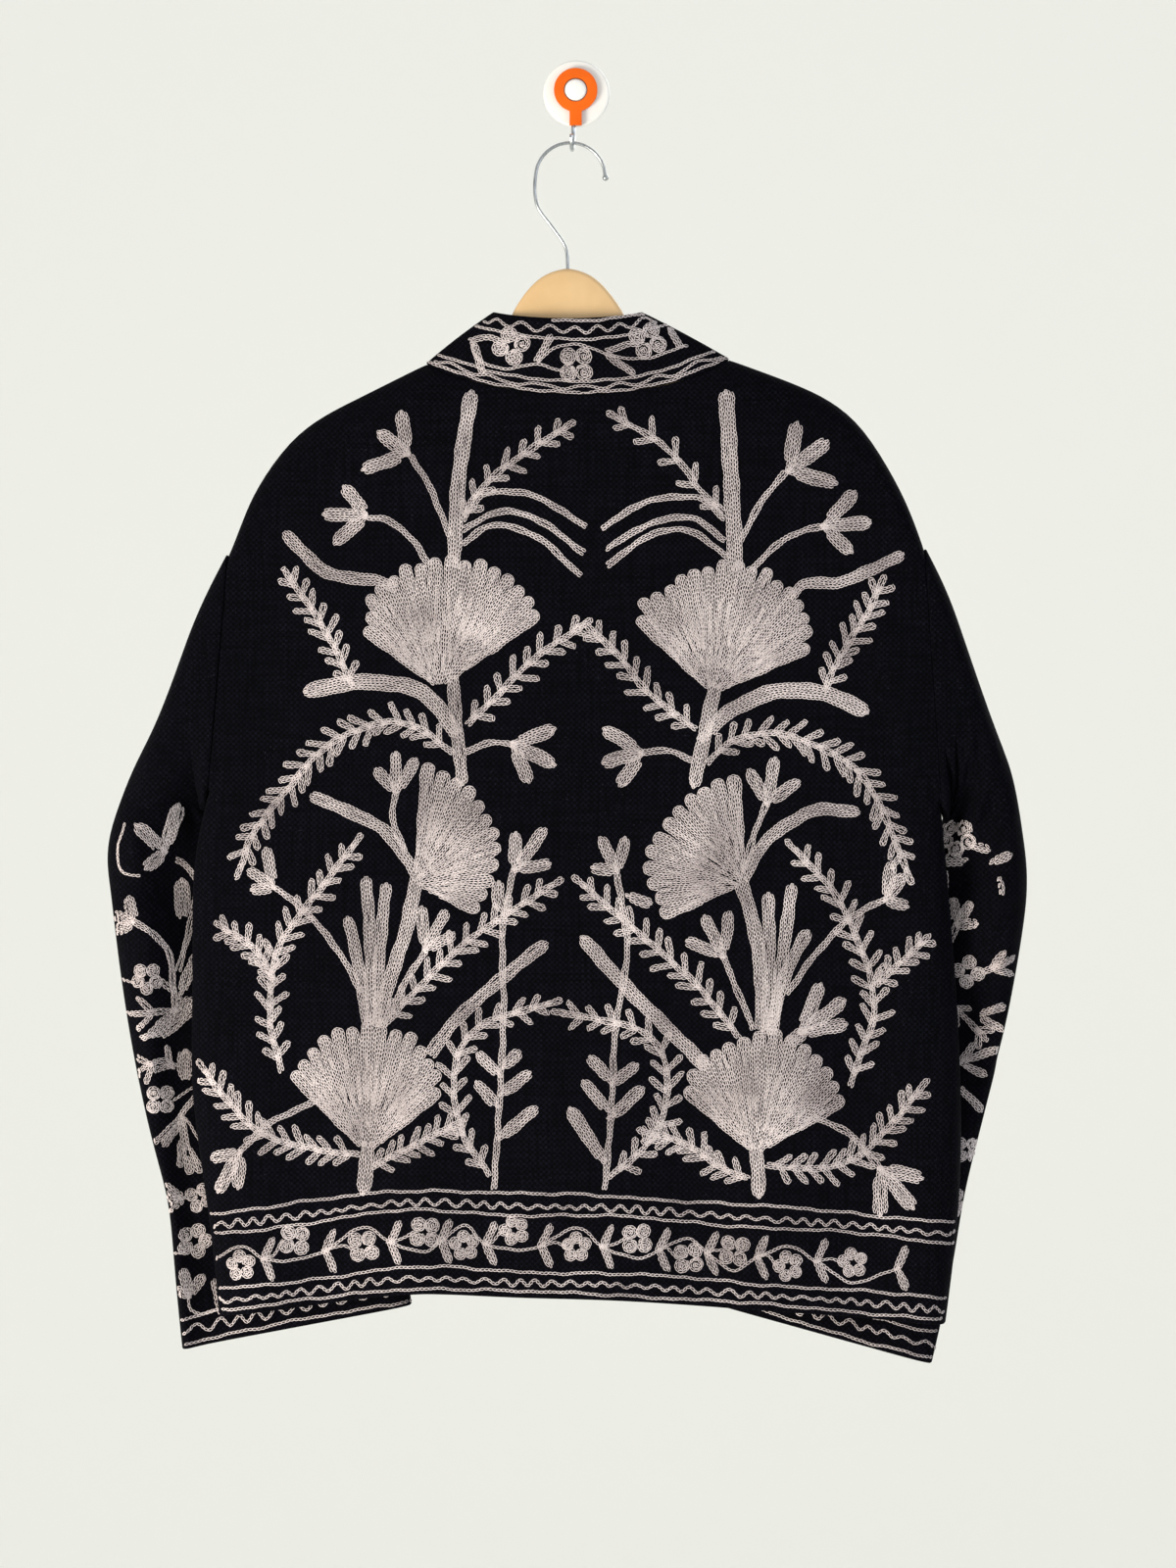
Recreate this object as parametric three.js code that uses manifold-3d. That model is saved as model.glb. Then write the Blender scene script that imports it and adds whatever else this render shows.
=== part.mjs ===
// Embroidered cloth jacket on a shaped hanger, hung from a round wall hook. Millimetres, +Z up.
// The wall is the plane y = 0 and the whole part lies on its -Y side, with the jacket's back turned
// to -Y. The origin is the centre of the wall disc's back face.
import * as THREE from 'three';
import { mergeVertices } from 'three/addons/utils/BufferGeometryUtils.js';
import Module from 'manifold-3d';

const wasm = await Module();
wasm.setup();

// ---------------------------------------------------------------- driving dimensions
const CLOTH = 1.6; // wall of the heavy woven cloth
const SEAM = 0.3; // space left between two sewn pieces
const MID_Y = -36; // plane halfway between the jacket's back and its fronts
const BODY_HALF_DEPTH = 14; // from that plane to the back, and to the fronts
const HEM_FLARE = 3; // how much further the back stands off at the hem
const EDGE_ROUND = 18; // width over which the body rounds over to its side seams
const FRONT_GAP = 6; // space between the two front edges
const COLLAR_TOP_HALF_DEPTH = 15;

const HANGER_THICK = 12;
const HANGER_BEVEL = 3;
const HANGER_CLEAR = 4.2; // from the outline of the shoulder down to the hanger's upper edge
const WIRE_RADIUS = 1.3;
const WIRE_BALL_RADIUS = 2.3;
const SOCKET_DEPTH = 14; // how far the wire stands in the hanger
const CROWN_RADIUS = 24;
const CROWN = { x: -4, z: -62.5 };

const DISC_RADIUS = 23;
const DISC_THICK = 4;
const RING_RADIUS = 15;
const RING_THICK = 3.2;
const RING_CENTRE = { x: -0.5, z: 2 };
const STEM_WIDTH = 8.4;
const STEM_END_Z = -22.5;
const BUTTON_RADIUS = 7.8;
const BUTTON_THICK = 5;
const PIN_RADIUS = 1.5;

const table = (names, rows) => rows.map((row) => Object.fromEntries(names.map((name, i) => [name, row[i]])));

// Upper outline of the body, from each shoulder point to the foot of the collar.
const SHOULDER_LEFT = table(['x', 'z'], [
  [-237, -320], [-233, -311], [-219, -275], [-192, -238], [-150, -214], [-102, -190],
]);
const SHOULDER_RIGHT = table(['x', 'z'], [
  [104, -187], [137, -199], [171, -213], [195, -231], [216, -265], [231, -298], [237, -316],
]);
// Side outline of the body: armhole from the shoulder point to the underarm, then the side seam.
const SIDE_LEFT = table(['z', 'x'], [
  [-320, -237], [-483, -251], [-523, -261], [-626, -262], [-685, -263], [-743, -255], [-802, -247], [-839, -244],
]);
const SIDE_RIGHT = table(['z', 'x'], [
  [-316, 237], [-495, 249], [-547, 254], [-641, 261], [-729, 263], [-781, 260], [-845, 252],
]);
const UNDERARM = { left: -483, right: -495 };
// Lower edge of the back, with the shallow rise and fall of its flutes.
const HEM = table(['x', 'z'], [
  [-244, -839], [-178, -831], [-113, -823], [-42, -826], [21, -827], [89, -832], [166, -837], [252, -845],
]);
const NECK = { left: -102, right: 104, backDip: -212, frontDip: -240 };
// Upper edge of the standing collar.
const COLLAR_TOP = { left: -56.7, right: 45, sideZ: -154.5, backZ: -160.4, frontZ: -203 };

// Soft folds of the body: place at the hem, place at the top end, height of the top end, half width,
// and rise away from the body (below zero is a trough).
const BACK_FOLDS = table(['hemX', 'topX', 'topZ', 'half', 'rise'], [
  [-212, -222, -470, 20, 3.5],
  [-168, -190, -520, 18, -4],
  [-112, -104, -600, 26, 4.5],
  [-52, -50, -660, 22, -3],
  [18, 6, -640, 30, 3],
  [84, 70, -560, 24, -4],
  [140, 124, -520, 22, 4],
  [196, 178, -330, 15, -4.5],
  [232, 226, -430, 14, 3],
]);
const FRONT_FOLDS = table(['hemX', 'topX', 'topZ', 'half', 'rise'], [
  [-190, -170, -480, 24, -3],
  [-60, -70, -420, 20, -3.5],
  [70, 58, -450, 22, -3],
  [186, 172, -500, 26, -3.5],
]);

// Sleeves: outer fold and inner fold of the flattened tube, section by section from armhole to cuff.
const SLEEVE_COLUMNS = ['outerX', 'outerZ', 'innerX', 'innerZ'];
const SLEEVE_LEFT = table(SLEEVE_COLUMNS, [
  [-237, -320, -251, -483],
  [-256, -356, -255, -489],
  [-269, -390, -257, -498],
  [-283, -427, -252, -509],
  [-295, -452, -241, -521],
  [-305, -472, -226, -531],
  [-316, -501, -208, -540],
  [-321, -524, -188, -548],
  [-319, -547, -172, -556],
  [-316, -571, -163, -572],
  [-313, -597, -158, -592],
  [-306, -645, -151, -628],
  [-298, -687, -144, -664],
  [-289, -727, -137, -702],
  [-279, -764, -129, -738],
  [-275, -812, -122, -784],
  [-270, -864, -115, -835],
]);
const SLEEVE_RIGHT = table(SLEEVE_COLUMNS, [
  [237, -316, 249, -495],
  [252, -345, 253, -501],
  [264, -378, 254, -509],
  [277, -415, 249, -519],
  [288, -445, 239, -531],
  [298, -471, 226, -541],
  [304, -505, 206, -549],
  [308, -535, 184, -556],
  [307, -563, 164, -565],
  [301, -603, 150, -592],
  [293, -645, 139, -624],
  [285, -677, 130, -656],
  [276, -716, 121, -690],
  [265, -760, 113, -728],
  [257, -812, 103, -778],
  [243, -875, 92, -833],
]);
// Folds across a sleeve: height at the outer and inner side, half width, rise of the outside face,
// and how far from the outer fold it reaches, as a share of the tube's flat width.
const SLEEVE_FOLD_COLUMNS = ['outerZ', 'innerZ', 'half', 'rise', 'reach'];
const SLEEVE_FOLDS_LEFT = table(SLEEVE_FOLD_COLUMNS, [
  [-462, -470, 13, 4, 0.5],
  [-484, -480, 9, -7, 0.55],
  [-520, -500, 18, 5, 0.5],
  [-549, -540, 9, -6, 0.6],
  [-590, -600, 22, 3, 0.5],
  [-668, -650, 20, -2.5, 0.6],
  [-776, -750, 18, -2.5, 0.7],
]);
const SLEEVE_FOLDS_RIGHT = table(SLEEVE_FOLD_COLUMNS, [
  [-450, -468, 13, 4, 0.5],
  [-476, -478, 9, -7, 0.55],
  [-505, -492, 14, 4, 0.5],
  [-524, -510, 8, -5, 0.6],
  [-556, -548, 20, 5, 0.5],
  [-628, -600, 18, -3, 0.6],
  [-700, -690, 20, -2.5, 0.6],
]);
const SLEEVE_BACK_Y = -45; // outside face of a sleeve where it hangs clear of the body
const TUCK = { from: 10, to: 32 }; // distance outside the body over which a sleeve turns in behind it
const SLEEVE_TUCKED_Y = -19.2; // the same face where it lies behind the fronts
const SLEEVE_WALL_Y = -3; // face turned to the wall
const SLEEVE_ROWS = 24;

// Upper edge of the hanger through the neck, from one shoulder to the other.
const HANGER_DOME = table(['x', 'z'], [
  [-97, -208], [-87, -212], [-70, -196], [-50, -173], [-45, -157], [-38, -145], [-29, -134],
  [-19, -127], [-6, -124], [7, -127], [17, -134], [26, -145], [34, -157], [38, -172], [65, -195],
  [88, -211], [98, -207],
]);
const HANGER_APEX = { x: -6, z: -124 };
const HANGER_END = { left: -199, right: 201, drop: 14 };
const HANGER_LOWER = { middleZ: -242, endZ: -276 }; // lower edge at the middle and near the ends

// ---------------------------------------------------------------- small helpers
const vec = (x, y, z) => new THREE.Vector3(x, y, z);
const clamp01 = (value) => Math.min(1, Math.max(0, value));
const mix = (a, b, share) => a + (b - a) * share;
const smooth = (from, to, value) => {
  const share = clamp01((value - from) / (to - from));
  return share * share * (3 - 2 * share);
};
const bell = (offset, half) => Math.exp(-((offset / half) ** 2));
// Height, 0 to 1, of a quarter-round edge at a distance in from that edge.
const roundOver = (distance) => {
  const share = clamp01(distance / EDGE_ROUND);
  return Math.sqrt(1 - (1 - share) ** 2);
};

// Value of one column of a table at a place along another, by a curve through the rows.
function sample(rows, key, column, at) {
  const sign = Math.sign(rows[rows.length - 1][key] - rows[0][key]);
  let i = 0;
  while (i < rows.length - 2 && (at - rows[i + 1][key]) * sign > 0) i += 1;
  const slope = (a, b) => (rows[b][column] - rows[a][column]) / (rows[b][key] - rows[a][key]);
  const span = rows[i + 1][key] - rows[i][key];
  const t = clamp01((at - rows[i][key]) / span);
  const startSlope = i > 0 ? slope(i - 1, i + 1) : slope(i, i + 1);
  const endSlope = i < rows.length - 2 ? slope(i, i + 2) : slope(i, i + 1);
  const t2 = t * t;
  const t3 = t2 * t;
  return (2 * t3 - 3 * t2 + 1) * rows[i][column] + (t3 - 2 * t2 + t) * span * startSlope
    + (3 * t2 - 2 * t3) * rows[i + 1][column] + (t3 - t2) * span * endSlope;
}

// A closed wall under a grid of points on the cloth's outer face. Rows may close into rings.
// settle may move a point of the inner face, to keep it on its own side of a seam.
function clothWall(rows, isTube, settle = (point) => point) {
  const rowCount = rows.length;
  const columnCount = rows[0].length;
  const at = (r, c) => rows[r][isTube ? (c + columnCount) % columnCount : c];
  const near = (value, low, high) => Math.min(high, Math.max(low, value));
  const inner = rows.map((row, r) => row.map((point, c) => {
    const before = isTube ? c - 1 : near(c - 1, 0, columnCount - 1);
    const after = isTube ? c + 1 : near(c + 1, 0, columnCount - 1);
    const along = at(r, after).clone().sub(at(r, before));
    const down = at(near(r + 1, 0, rowCount - 1), c).clone().sub(at(near(r - 1, 0, rowCount - 1), c));
    return settle(point.clone().addScaledVector(down.cross(along).normalize(), -CLOTH));
  }));
  const positions = [...rows.flat(), ...inner.flat()].flatMap((p) => [p.x, p.y, p.z]);
  const outside = (r, c) => r * columnCount + (c % columnCount);
  const inside = (r, c) => rowCount * columnCount + outside(r, c);
  const index = [];
  const quad = (a, b, c, d) => index.push(a, b, c, a, c, d);
  const spans = isTube ? columnCount : columnCount - 1;
  for (let r = 0; r < rowCount - 1; r += 1) {
    for (let c = 0; c < spans; c += 1) {
      quad(outside(r, c), outside(r + 1, c), outside(r + 1, c + 1), outside(r, c + 1));
      quad(inside(r, c), inside(r, c + 1), inside(r + 1, c + 1), inside(r + 1, c));
    }
    if (!isTube) {
      quad(outside(r, 0), inside(r, 0), inside(r + 1, 0), outside(r + 1, 0));
      quad(outside(r, spans), outside(r + 1, spans), inside(r + 1, spans), inside(r, spans));
    }
  }
  for (let c = 0; c < spans; c += 1) {
    quad(outside(0, c), outside(0, c + 1), inside(0, c + 1), inside(0, c));
    const last = rowCount - 1;
    quad(outside(last, c), inside(last, c), inside(last, c + 1), outside(last, c + 1));
  }
  const geometry = new THREE.BufferGeometry();
  geometry.setAttribute('position', new THREE.Float32BufferAttribute(positions, 3));
  geometry.setIndex(index);
  return geometry;
}

function toSolid(geometry) {
  const bare = geometry.clone();
  bare.deleteAttribute('normal');
  bare.deleteAttribute('uv');
  const merged = mergeVertices(bare, 1e-4);
  return new wasm.Manifold(new wasm.Mesh({
    numProp: 3,
    vertProperties: new Float32Array(merged.attributes.position.array),
    triVerts: new Uint32Array(merged.index.array),
  }));
}

function fromSolid(solid) {
  const mesh = solid.getMesh();
  const geometry = new THREE.BufferGeometry();
  geometry.setAttribute('position', new THREE.BufferAttribute(mesh.vertProperties, 3));
  geometry.setIndex(new THREE.BufferAttribute(mesh.triVerts, 1));
  return geometry;
}

// ---------------------------------------------------------------- body of the jacket
const EDGE_ANGLES = [0, Math.PI / 6, Math.PI / 3, Math.PI / 2];
const EDGE_STEPS = EDGE_ANGLES.map((angle) => EDGE_ROUND * (1 - Math.cos(angle)));
const SHOULDER_STRETCH = 1.3; // the shoulder slopes, so its rounding reaches further down
const ARMHOLE_SPANS = 4;
const SIDE_SPANS = 9;
const SHOULDER_SPANS = 5;
const NECK_SPANS = 10;

const evenly = (from, to, spans) => Array.from({ length: spans - 1 }, (_, i) => mix(from, to, (i + 1) / spans));

// Heights of the body's rows at one side edge, from the shoulder point to the hem.
function sideHeights(side, underarm) {
  const top = side[0].z;
  const hem = side[side.length - 1].z;
  const rounded = EDGE_STEPS.map((step) => top - step * SHOULDER_STRETCH);
  const closing = [...EDGE_STEPS].reverse().map((step) => underarm + step);
  const armhole = evenly(rounded[3], closing[0], ARMHOLE_SPANS);
  return [...rounded, ...armhole, ...closing, ...evenly(underarm, hem, SIDE_SPANS), hem];
}
const ARMHOLE_ROWS = 2 * EDGE_STEPS.length + ARMHOLE_SPANS - 1;
const HEIGHTS = { left: sideHeights(SIDE_LEFT, UNDERARM.left), right: sideHeights(SIDE_RIGHT, UNDERARM.right) };

const NECK_MID = (NECK.left + NECK.right) / 2;
const NECK_HALF = (NECK.right - NECK.left) / 2;
const neckReach = (x) => Math.sqrt(Math.max(0, 1 - ((x - NECK_MID) / NECK_HALF) ** 2));
const inNeck = (x) => x > NECK.left - 0.01 && x < NECK.right + 0.01;

function neckZ(x, dip) {
  const share = clamp01((x - NECK.left) / (NECK.right - NECK.left));
  const corner = mix(SHOULDER_LEFT[SHOULDER_LEFT.length - 1].z, SHOULDER_RIGHT[0].z, share);
  return mix(corner, dip, neckReach(x) ** 1.5);
}

function topZ(x, dip) {
  if (inNeck(x)) return neckZ(x, dip);
  return sample(x < 0 ? SHOULDER_LEFT : SHOULDER_RIGHT, 'x', 'z', x);
}

// Places of the columns along the top edge, from the left shoulder point to the right one.
const NECK_COLUMNS = Array.from({ length: NECK_SPANS + 1 }, (_, i) => (
  NECK_MID - NECK_HALF * Math.cos((Math.PI * i) / NECK_SPANS)));
const SHOULDER_X = { left: SIDE_LEFT[0].x, right: SIDE_RIGHT[0].x };
const COLUMNS = [
  ...EDGE_STEPS.map((step) => SHOULDER_X.left + step),
  ...evenly(SHOULDER_X.left + EDGE_ROUND, NECK.left, SHOULDER_SPANS),
  ...NECK_COLUMNS,
  ...evenly(NECK.right, SHOULDER_X.right - EDGE_ROUND, SHOULDER_SPANS),
  ...[...EDGE_STEPS].reverse().map((step) => SHOULDER_X.right - step),
];

function foldRise(folds, x, z) {
  return folds.reduce((sum, fold) => {
    const down = clamp01((fold.topZ - z) / (fold.topZ - HEM[0].z));
    return sum + fold.rise * smooth(0, 0.8, down) * bell(x - mix(fold.topX, fold.hemX, down), fold.half);
  }, 0);
}

// A point of the body's cloth. facing is -1 on the back and 1 on the fronts.
function bodyPoint(columnX, row, facing) {
  const isLeft = columnX < 0;
  const side = isLeft ? SIDE_LEFT : SIDE_RIGHT;
  const shoulderX = isLeft ? SHOULDER_X.left : SHOULDER_X.right;
  const edgeX = sample(side, 'z', 'x', HEIGHTS[isLeft ? 'left' : 'right'][row]);
  const inset = Math.abs(shoulderX - columnX);
  const x = inset < EDGE_ROUND ? edgeX + inset * Math.sign(-shoulderX)
    : mix(edgeX - EDGE_ROUND * Math.sign(shoulderX), 0, (inset - EDGE_ROUND) / (Math.abs(shoulderX) - EDGE_ROUND));

  const across = clamp01((x - SHOULDER_X.left) / (SHOULDER_X.right - SHOULDER_X.left));
  const downSide = (heights) => (heights[row] - heights[heights.length - 1]) / (heights[0] - heights[heights.length - 1]);
  const down = mix(downSide(HEIGHTS.left), downSide(HEIGHTS.right), across);
  const dip = facing < 0 ? NECK.backDip : NECK.frontDip;
  const hemZ = sample(HEM, 'x', 'z', x);
  const z = mix(hemZ, topZ(columnX, dip), down);

  const underarm = { z: isLeft ? UNDERARM.left : UNDERARM.right };
  underarm.x = sample(side, 'z', 'x', underarm.z);
  const toSeam = z < underarm.z ? Math.abs(edgeX - x) : Math.hypot(x - underarm.x, z - underarm.z);
  const sideShare = roundOver(toSeam);
  const topRound = row < EDGE_ANGLES.length ? Math.sin(EDGE_ANGLES[row]) : 1;
  const topShare = inNeck(columnX) ? mix(neckReach(columnX), 1, topRound) : topRound;
  const share = sideShare * topShare;
  const flare = facing < 0 ? HEM_FLARE * (1 - down) : 0;
  const folds = foldRise(facing < 0 ? BACK_FOLDS : FRONT_FOLDS, x, z);
  const depth = SEAM / 2 + (BODY_HALF_DEPTH + flare + folds) * share;
  return vec(x, MID_Y + facing * depth, z);
}

const ROWS = HEIGHTS.left.map((_, row) => row);

// Keeps a point of the back, or of the fronts, on its own side of its seams.
const behindSeam = (facing) => (point) => {
  const edge = Math.abs(sample(point.x < 0 ? SIDE_LEFT : SIDE_RIGHT, 'z', 'x', point.z));
  return point.set(
    Math.min(edge, Math.max(-edge, point.x)),
    MID_Y + facing * Math.max(SEAM / 2, (point.y - MID_Y) * facing),
    point.z,
  );
};

function backGeometry() {
  return clothWall(ROWS.map((row) => COLUMNS.map((x) => bodyPoint(x, row, -1))), false, behindSeam(-1));
}

function frontGeometry(isLeft) {
  const edge = NECK_MID + (isLeft ? -1 : 1) * (FRONT_GAP / 2);
  const columns = COLUMNS.filter((x) => (isLeft ? x < edge - 2 : x > edge + 2));
  const all = isLeft ? [...columns, edge] : [edge, ...columns];
  const rows = ROWS.map((row) => [...all].reverse().map((x) => bodyPoint(x, row, 1)));
  return clothWall(rows, false, behindSeam(1));
}

// ---------------------------------------------------------------- collar
const COLLAR_ROWS = 5;
const COLLAR_LIFT = 1; // height of its foot over the neck edge, whose slope narrows the gap

// The stand starts at one front edge, goes round the back of the neck and ends at the other.
function collarGeometry() {
  const topMid = (COLLAR_TOP.left + COLLAR_TOP.right) / 2;
  const topHalf = (COLLAR_TOP.right - COLLAR_TOP.left) / 2;
  const frontEdge = FRONT_GAP / 2;
  const leftFront = NECK_COLUMNS.filter((x) => x > NECK.left + 0.01 && x < NECK_MID - 1 - frontEdge).reverse();
  const rightFront = NECK_COLUMNS.filter((x) => x < NECK.right - 0.01 && x > NECK_MID + 1 + frontEdge).reverse();
  const stations = [
    ...[NECK_MID - frontEdge, ...leftFront].map((x) => ({ x, facing: 1 })),
    ...NECK_COLUMNS.map((x) => ({ x, facing: -1 })),
    ...[...rightFront, NECK_MID + frontEdge].map((x) => ({ x, facing: 1 })),
  ];
  const rows = Array.from({ length: COLLAR_ROWS }, (_, r) => {
    const up = r / (COLLAR_ROWS - 1);
    return stations.map(({ x, facing }) => {
      const reach = neckReach(x);
      const footZ = neckZ(x, facing < 0 ? NECK.backDip : NECK.frontDip) + COLLAR_LIFT;
      const headZ = mix(COLLAR_TOP.sideZ, facing < 0 ? COLLAR_TOP.backZ : COLLAR_TOP.frontZ, reach ** 1.5);
      const headX = topMid + ((x - NECK_MID) / NECK_HALF) * topHalf;
      const halfDepth = mix(BODY_HALF_DEPTH + SEAM / 2, COLLAR_TOP_HALF_DEPTH, up);
      const bow = Math.sin(Math.PI * up) * 1.6;
      return vec(
        mix(x, headX, up) + bow * Math.sign(x - NECK_MID) * (1 - reach),
        MID_Y + facing * (halfDepth + bow) * reach,
        mix(footZ, headZ, up),
      );
    });
  });
  return clothWall(rows.reverse(), false);
}

// ---------------------------------------------------------------- sleeves
function sleeveGeometry(isLeft) {
  const sections = isLeft ? SLEEVE_LEFT : SLEEVE_RIGHT;
  const folds = isLeft ? SLEEVE_FOLDS_LEFT : SLEEVE_FOLDS_RIGHT;
  const side = isLeft ? SIDE_LEFT : SIDE_RIGHT;
  const heights = (isLeft ? HEIGHTS.left : HEIGHTS.right).slice(0, ARMHOLE_ROWS);
  const outward = isLeft ? -1 : 1;
  const underarmZ = isLeft ? UNDERARM.left : UNDERARM.right;
  const across = heights.map((z) => (heights[0] - z) / (heights[0] - underarmZ));
  const lastRow = across.length - 1;
  // Numbered sections give each column of the table as a curve along the sleeve.
  const numbered = sections.map((section, step) => ({ ...section, step }));

  function ringPoint(along, i, facing) {
    const at = (column) => sample(numbered, 'step', column, along * (numbered.length - 1));
    const share = across[i];
    const x = mix(at('outerX'), at('innerX'), share);
    const z = mix(at('outerZ'), at('innerZ'), share);
    const clear = (x - sample(side, 'z', 'x', z)) * outward;
    const below = smooth(underarmZ + 30, underarmZ - 12, z);
    const tucked = below * (1 - smooth(TUCK.from, TUCK.to, clear)) * smooth(0.04, 0.12, along);
    const backY = mix(mix(MID_Y - BODY_HALF_DEPTH, SLEEVE_BACK_Y, smooth(0, 0.4, along)), SLEEVE_TUCKED_Y, tucked);
    const wallY = mix(MID_Y + BODY_HALF_DEPTH, SLEEVE_WALL_Y, smooth(0, 0.2, along));
    const rounding = Math.sin(i < 4 ? EDGE_ANGLES[i] : EDGE_ANGLES[Math.min(3, lastRow - i)]);
    const fold = folds.reduce((sum, row) => sum + row.rise
      * bell(z - mix(row.outerZ, row.innerZ, share), row.half) * (1 - smooth(row.reach * 0.5, row.reach, share)), 0);
    const half = (wallY - backY) / 2;
    const middle = (wallY + backY) / 2;
    const y = middle + facing * half * rounding + (facing < 0 ? -fold * rounding * (1 - tucked) : 0);
    return vec(x, y, z);
  }

  const rings = [];
  for (let r = 0; r <= SLEEVE_ROWS; r += 1) {
    const along = r / SLEEVE_ROWS;
    const back = across.map((_, i) => ringPoint(along, i, -1));
    const wallSide = across.slice(1, -1).map((_, i) => ringPoint(along, i + 1, 1)).reverse();
    rings.push([...back, ...wallSide]);
  }
  rings[0] = rings[0].map((point) => point.clone().setX(point.x + outward * SEAM));
  if (isLeft) rings.forEach((ring) => ring.reverse());
  // Beside the armhole the inner face stays outside the seam.
  const outsideSeam = (point) => {
    const seamX = sample(side, 'z', 'x', point.z) + outward * SEAM;
    return point.z > underarmZ - 1 && (point.x - seamX) * outward < 0 ? point.setX(seamX) : point;
  };
  return clothWall(rings, true, outsideSeam);
}

// ---------------------------------------------------------------- hanger
const WIRE_SIDES = 8;

// A round wire along a curve, with round ends where a ball is asked for.
function wireGeometry(curve, radius, steps) {
  const section = new THREE.Shape();
  section.absarc(0, 0, radius, 0, 2 * Math.PI);
  return new THREE.ExtrudeGeometry(section, {
    steps, curveSegments: WIRE_SIDES / 2, bevelEnabled: false, extrudePath: curve,
  });
}

function hangerGeometry() {
  const underShoulder = (x) => {
    const slope = (topZ(x + 2, 0) - topZ(x - 2, 0)) / 4;
    return vec(x, 0, topZ(x, 0) - HANGER_CLEAR * Math.hypot(1, slope));
  };
  const upper = [
    ...[-190, -172, -150, -128, -108].map(underShoulder),
    ...HANGER_DOME.map(({ x, z }) => vec(x, 0, z)),
    ...[110, 130, 152, 174, 192].map(underShoulder),
  ];
  const lower = [185, 140, 90, 40, 0, -40, -90, -140, -185].map((x) => (
    vec(x, 0, mix(HANGER_LOWER.middleZ, HANGER_LOWER.endZ, (Math.abs(x) / 185) ** 1.4))));
  const shape = new THREE.Shape();
  shape.moveTo(HANGER_END.left, upper[0].z - HANGER_END.drop);
  upper.forEach(({ x, z }) => shape.lineTo(x, z));
  shape.lineTo(HANGER_END.right, upper[upper.length - 1].z - HANGER_END.drop);
  lower.forEach(({ x, z }) => shape.lineTo(x, z));
  shape.closePath();
  const blade = new THREE.ExtrudeGeometry(shape, {
    depth: HANGER_THICK - 2 * HANGER_BEVEL,
    steps: 1,
    bevelEnabled: true,
    bevelThickness: HANGER_BEVEL,
    bevelSize: HANGER_BEVEL,
    bevelOffset: -HANGER_BEVEL,
    bevelSegments: 2,
  });
  blade.rotateX(Math.PI / 2);
  blade.translate(0, MID_Y + HANGER_THICK / 2 - HANGER_BEVEL, 0);
  const apex = HANGER_APEX;
  const bore = WIRE_RADIUS + 1.5 * SEAM;
  const socket = new THREE.CylinderGeometry(bore, bore, 2 * SOCKET_DEPTH, 12);
  socket.rotateX(Math.PI / 2);
  socket.translate(apex.x, MID_Y, apex.z);
  return fromSolid(toSolid(blade).subtract(toSolid(socket)));
}

// The wire stands in the hanger, leans out to the left, and turns over clockwise to a free end.
function hangerHookGeometry() {
  const apex = HANGER_APEX;
  const shank = [
    vec(apex.x, MID_Y, apex.z - SOCKET_DEPTH + 1.5),
    vec(apex.x, MID_Y, apex.z + 6),
    vec(-7.2, MID_Y, -110),
    vec(-16.5, MID_Y, -96),
    vec(-26, MID_Y, -83),
    vec(-28.2, MID_Y, -74),
  ];
  const crown = Array.from({ length: 9 }, (_, i) => {
    const angle = Math.PI * (1 - i / 8);
    return vec(CROWN.x + CROWN_RADIUS * Math.cos(angle), MID_Y, CROWN.z + CROWN_RADIUS * Math.sin(angle));
  });
  const route = new THREE.CatmullRomCurve3([...shank, ...crown], false, 'centripetal');
  const ball = new THREE.SphereGeometry(WIRE_BALL_RADIUS, 12, 8);
  ball.translate(CROWN.x + CROWN_RADIUS, MID_Y, CROWN.z);
  return fromSolid(toSolid(wireGeometry(route, WIRE_RADIUS, 44)).add(toSolid(ball)));
}

// ---------------------------------------------------------------- wall hook
// A body turned about the y axis, from a profile of radius and distance off the wall.
function turned(profile, sides) {
  const geometry = new THREE.LatheGeometry(profile.map(([radius, out]) => new THREE.Vector2(radius, out)), sides);
  geometry.rotateX(Math.PI);
  return geometry;
}

function discGeometry() {
  const edge = 1.2;
  return turned([
    [0, 0], [DISC_RADIUS, 0], [DISC_RADIUS, DISC_THICK - edge], [DISC_RADIUS - edge, DISC_THICK], [0, DISC_THICK],
  ], 48);
}

function ringGeometry() {
  const shape = new THREE.Shape();
  const half = STEM_WIDTH / 2;
  const join = Math.asin(half / RING_RADIUS);
  shape.moveTo(-half, STEM_END_Z - RING_CENTRE.z);
  shape.lineTo(half, STEM_END_Z - RING_CENTRE.z);
  shape.absarc(0, 0, RING_RADIUS, -Math.PI / 2 + join, 1.5 * Math.PI - join, false);
  shape.closePath();
  const hole = new THREE.Path();
  hole.absarc(0, 0, BUTTON_RADIUS + SEAM, 0, 2 * Math.PI, true);
  shape.holes.push(hole);
  const geometry = new THREE.ExtrudeGeometry(shape, { depth: RING_THICK, bevelEnabled: false, curveSegments: 24 });
  geometry.rotateX(Math.PI / 2);
  geometry.translate(RING_CENTRE.x, -DISC_THICK - SEAM, RING_CENTRE.z);
  return geometry;
}

function buttonGeometry() {
  const geometry = turned([
    [0, 0], [BUTTON_RADIUS, 0], [BUTTON_RADIUS, BUTTON_THICK * 0.6], [BUTTON_RADIUS * 0.8, BUTTON_THICK * 0.9],
    [0, BUTTON_THICK],
  ], 32);
  geometry.translate(RING_CENTRE.x, -DISC_THICK - SEAM, RING_CENTRE.z);
  return geometry;
}

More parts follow.
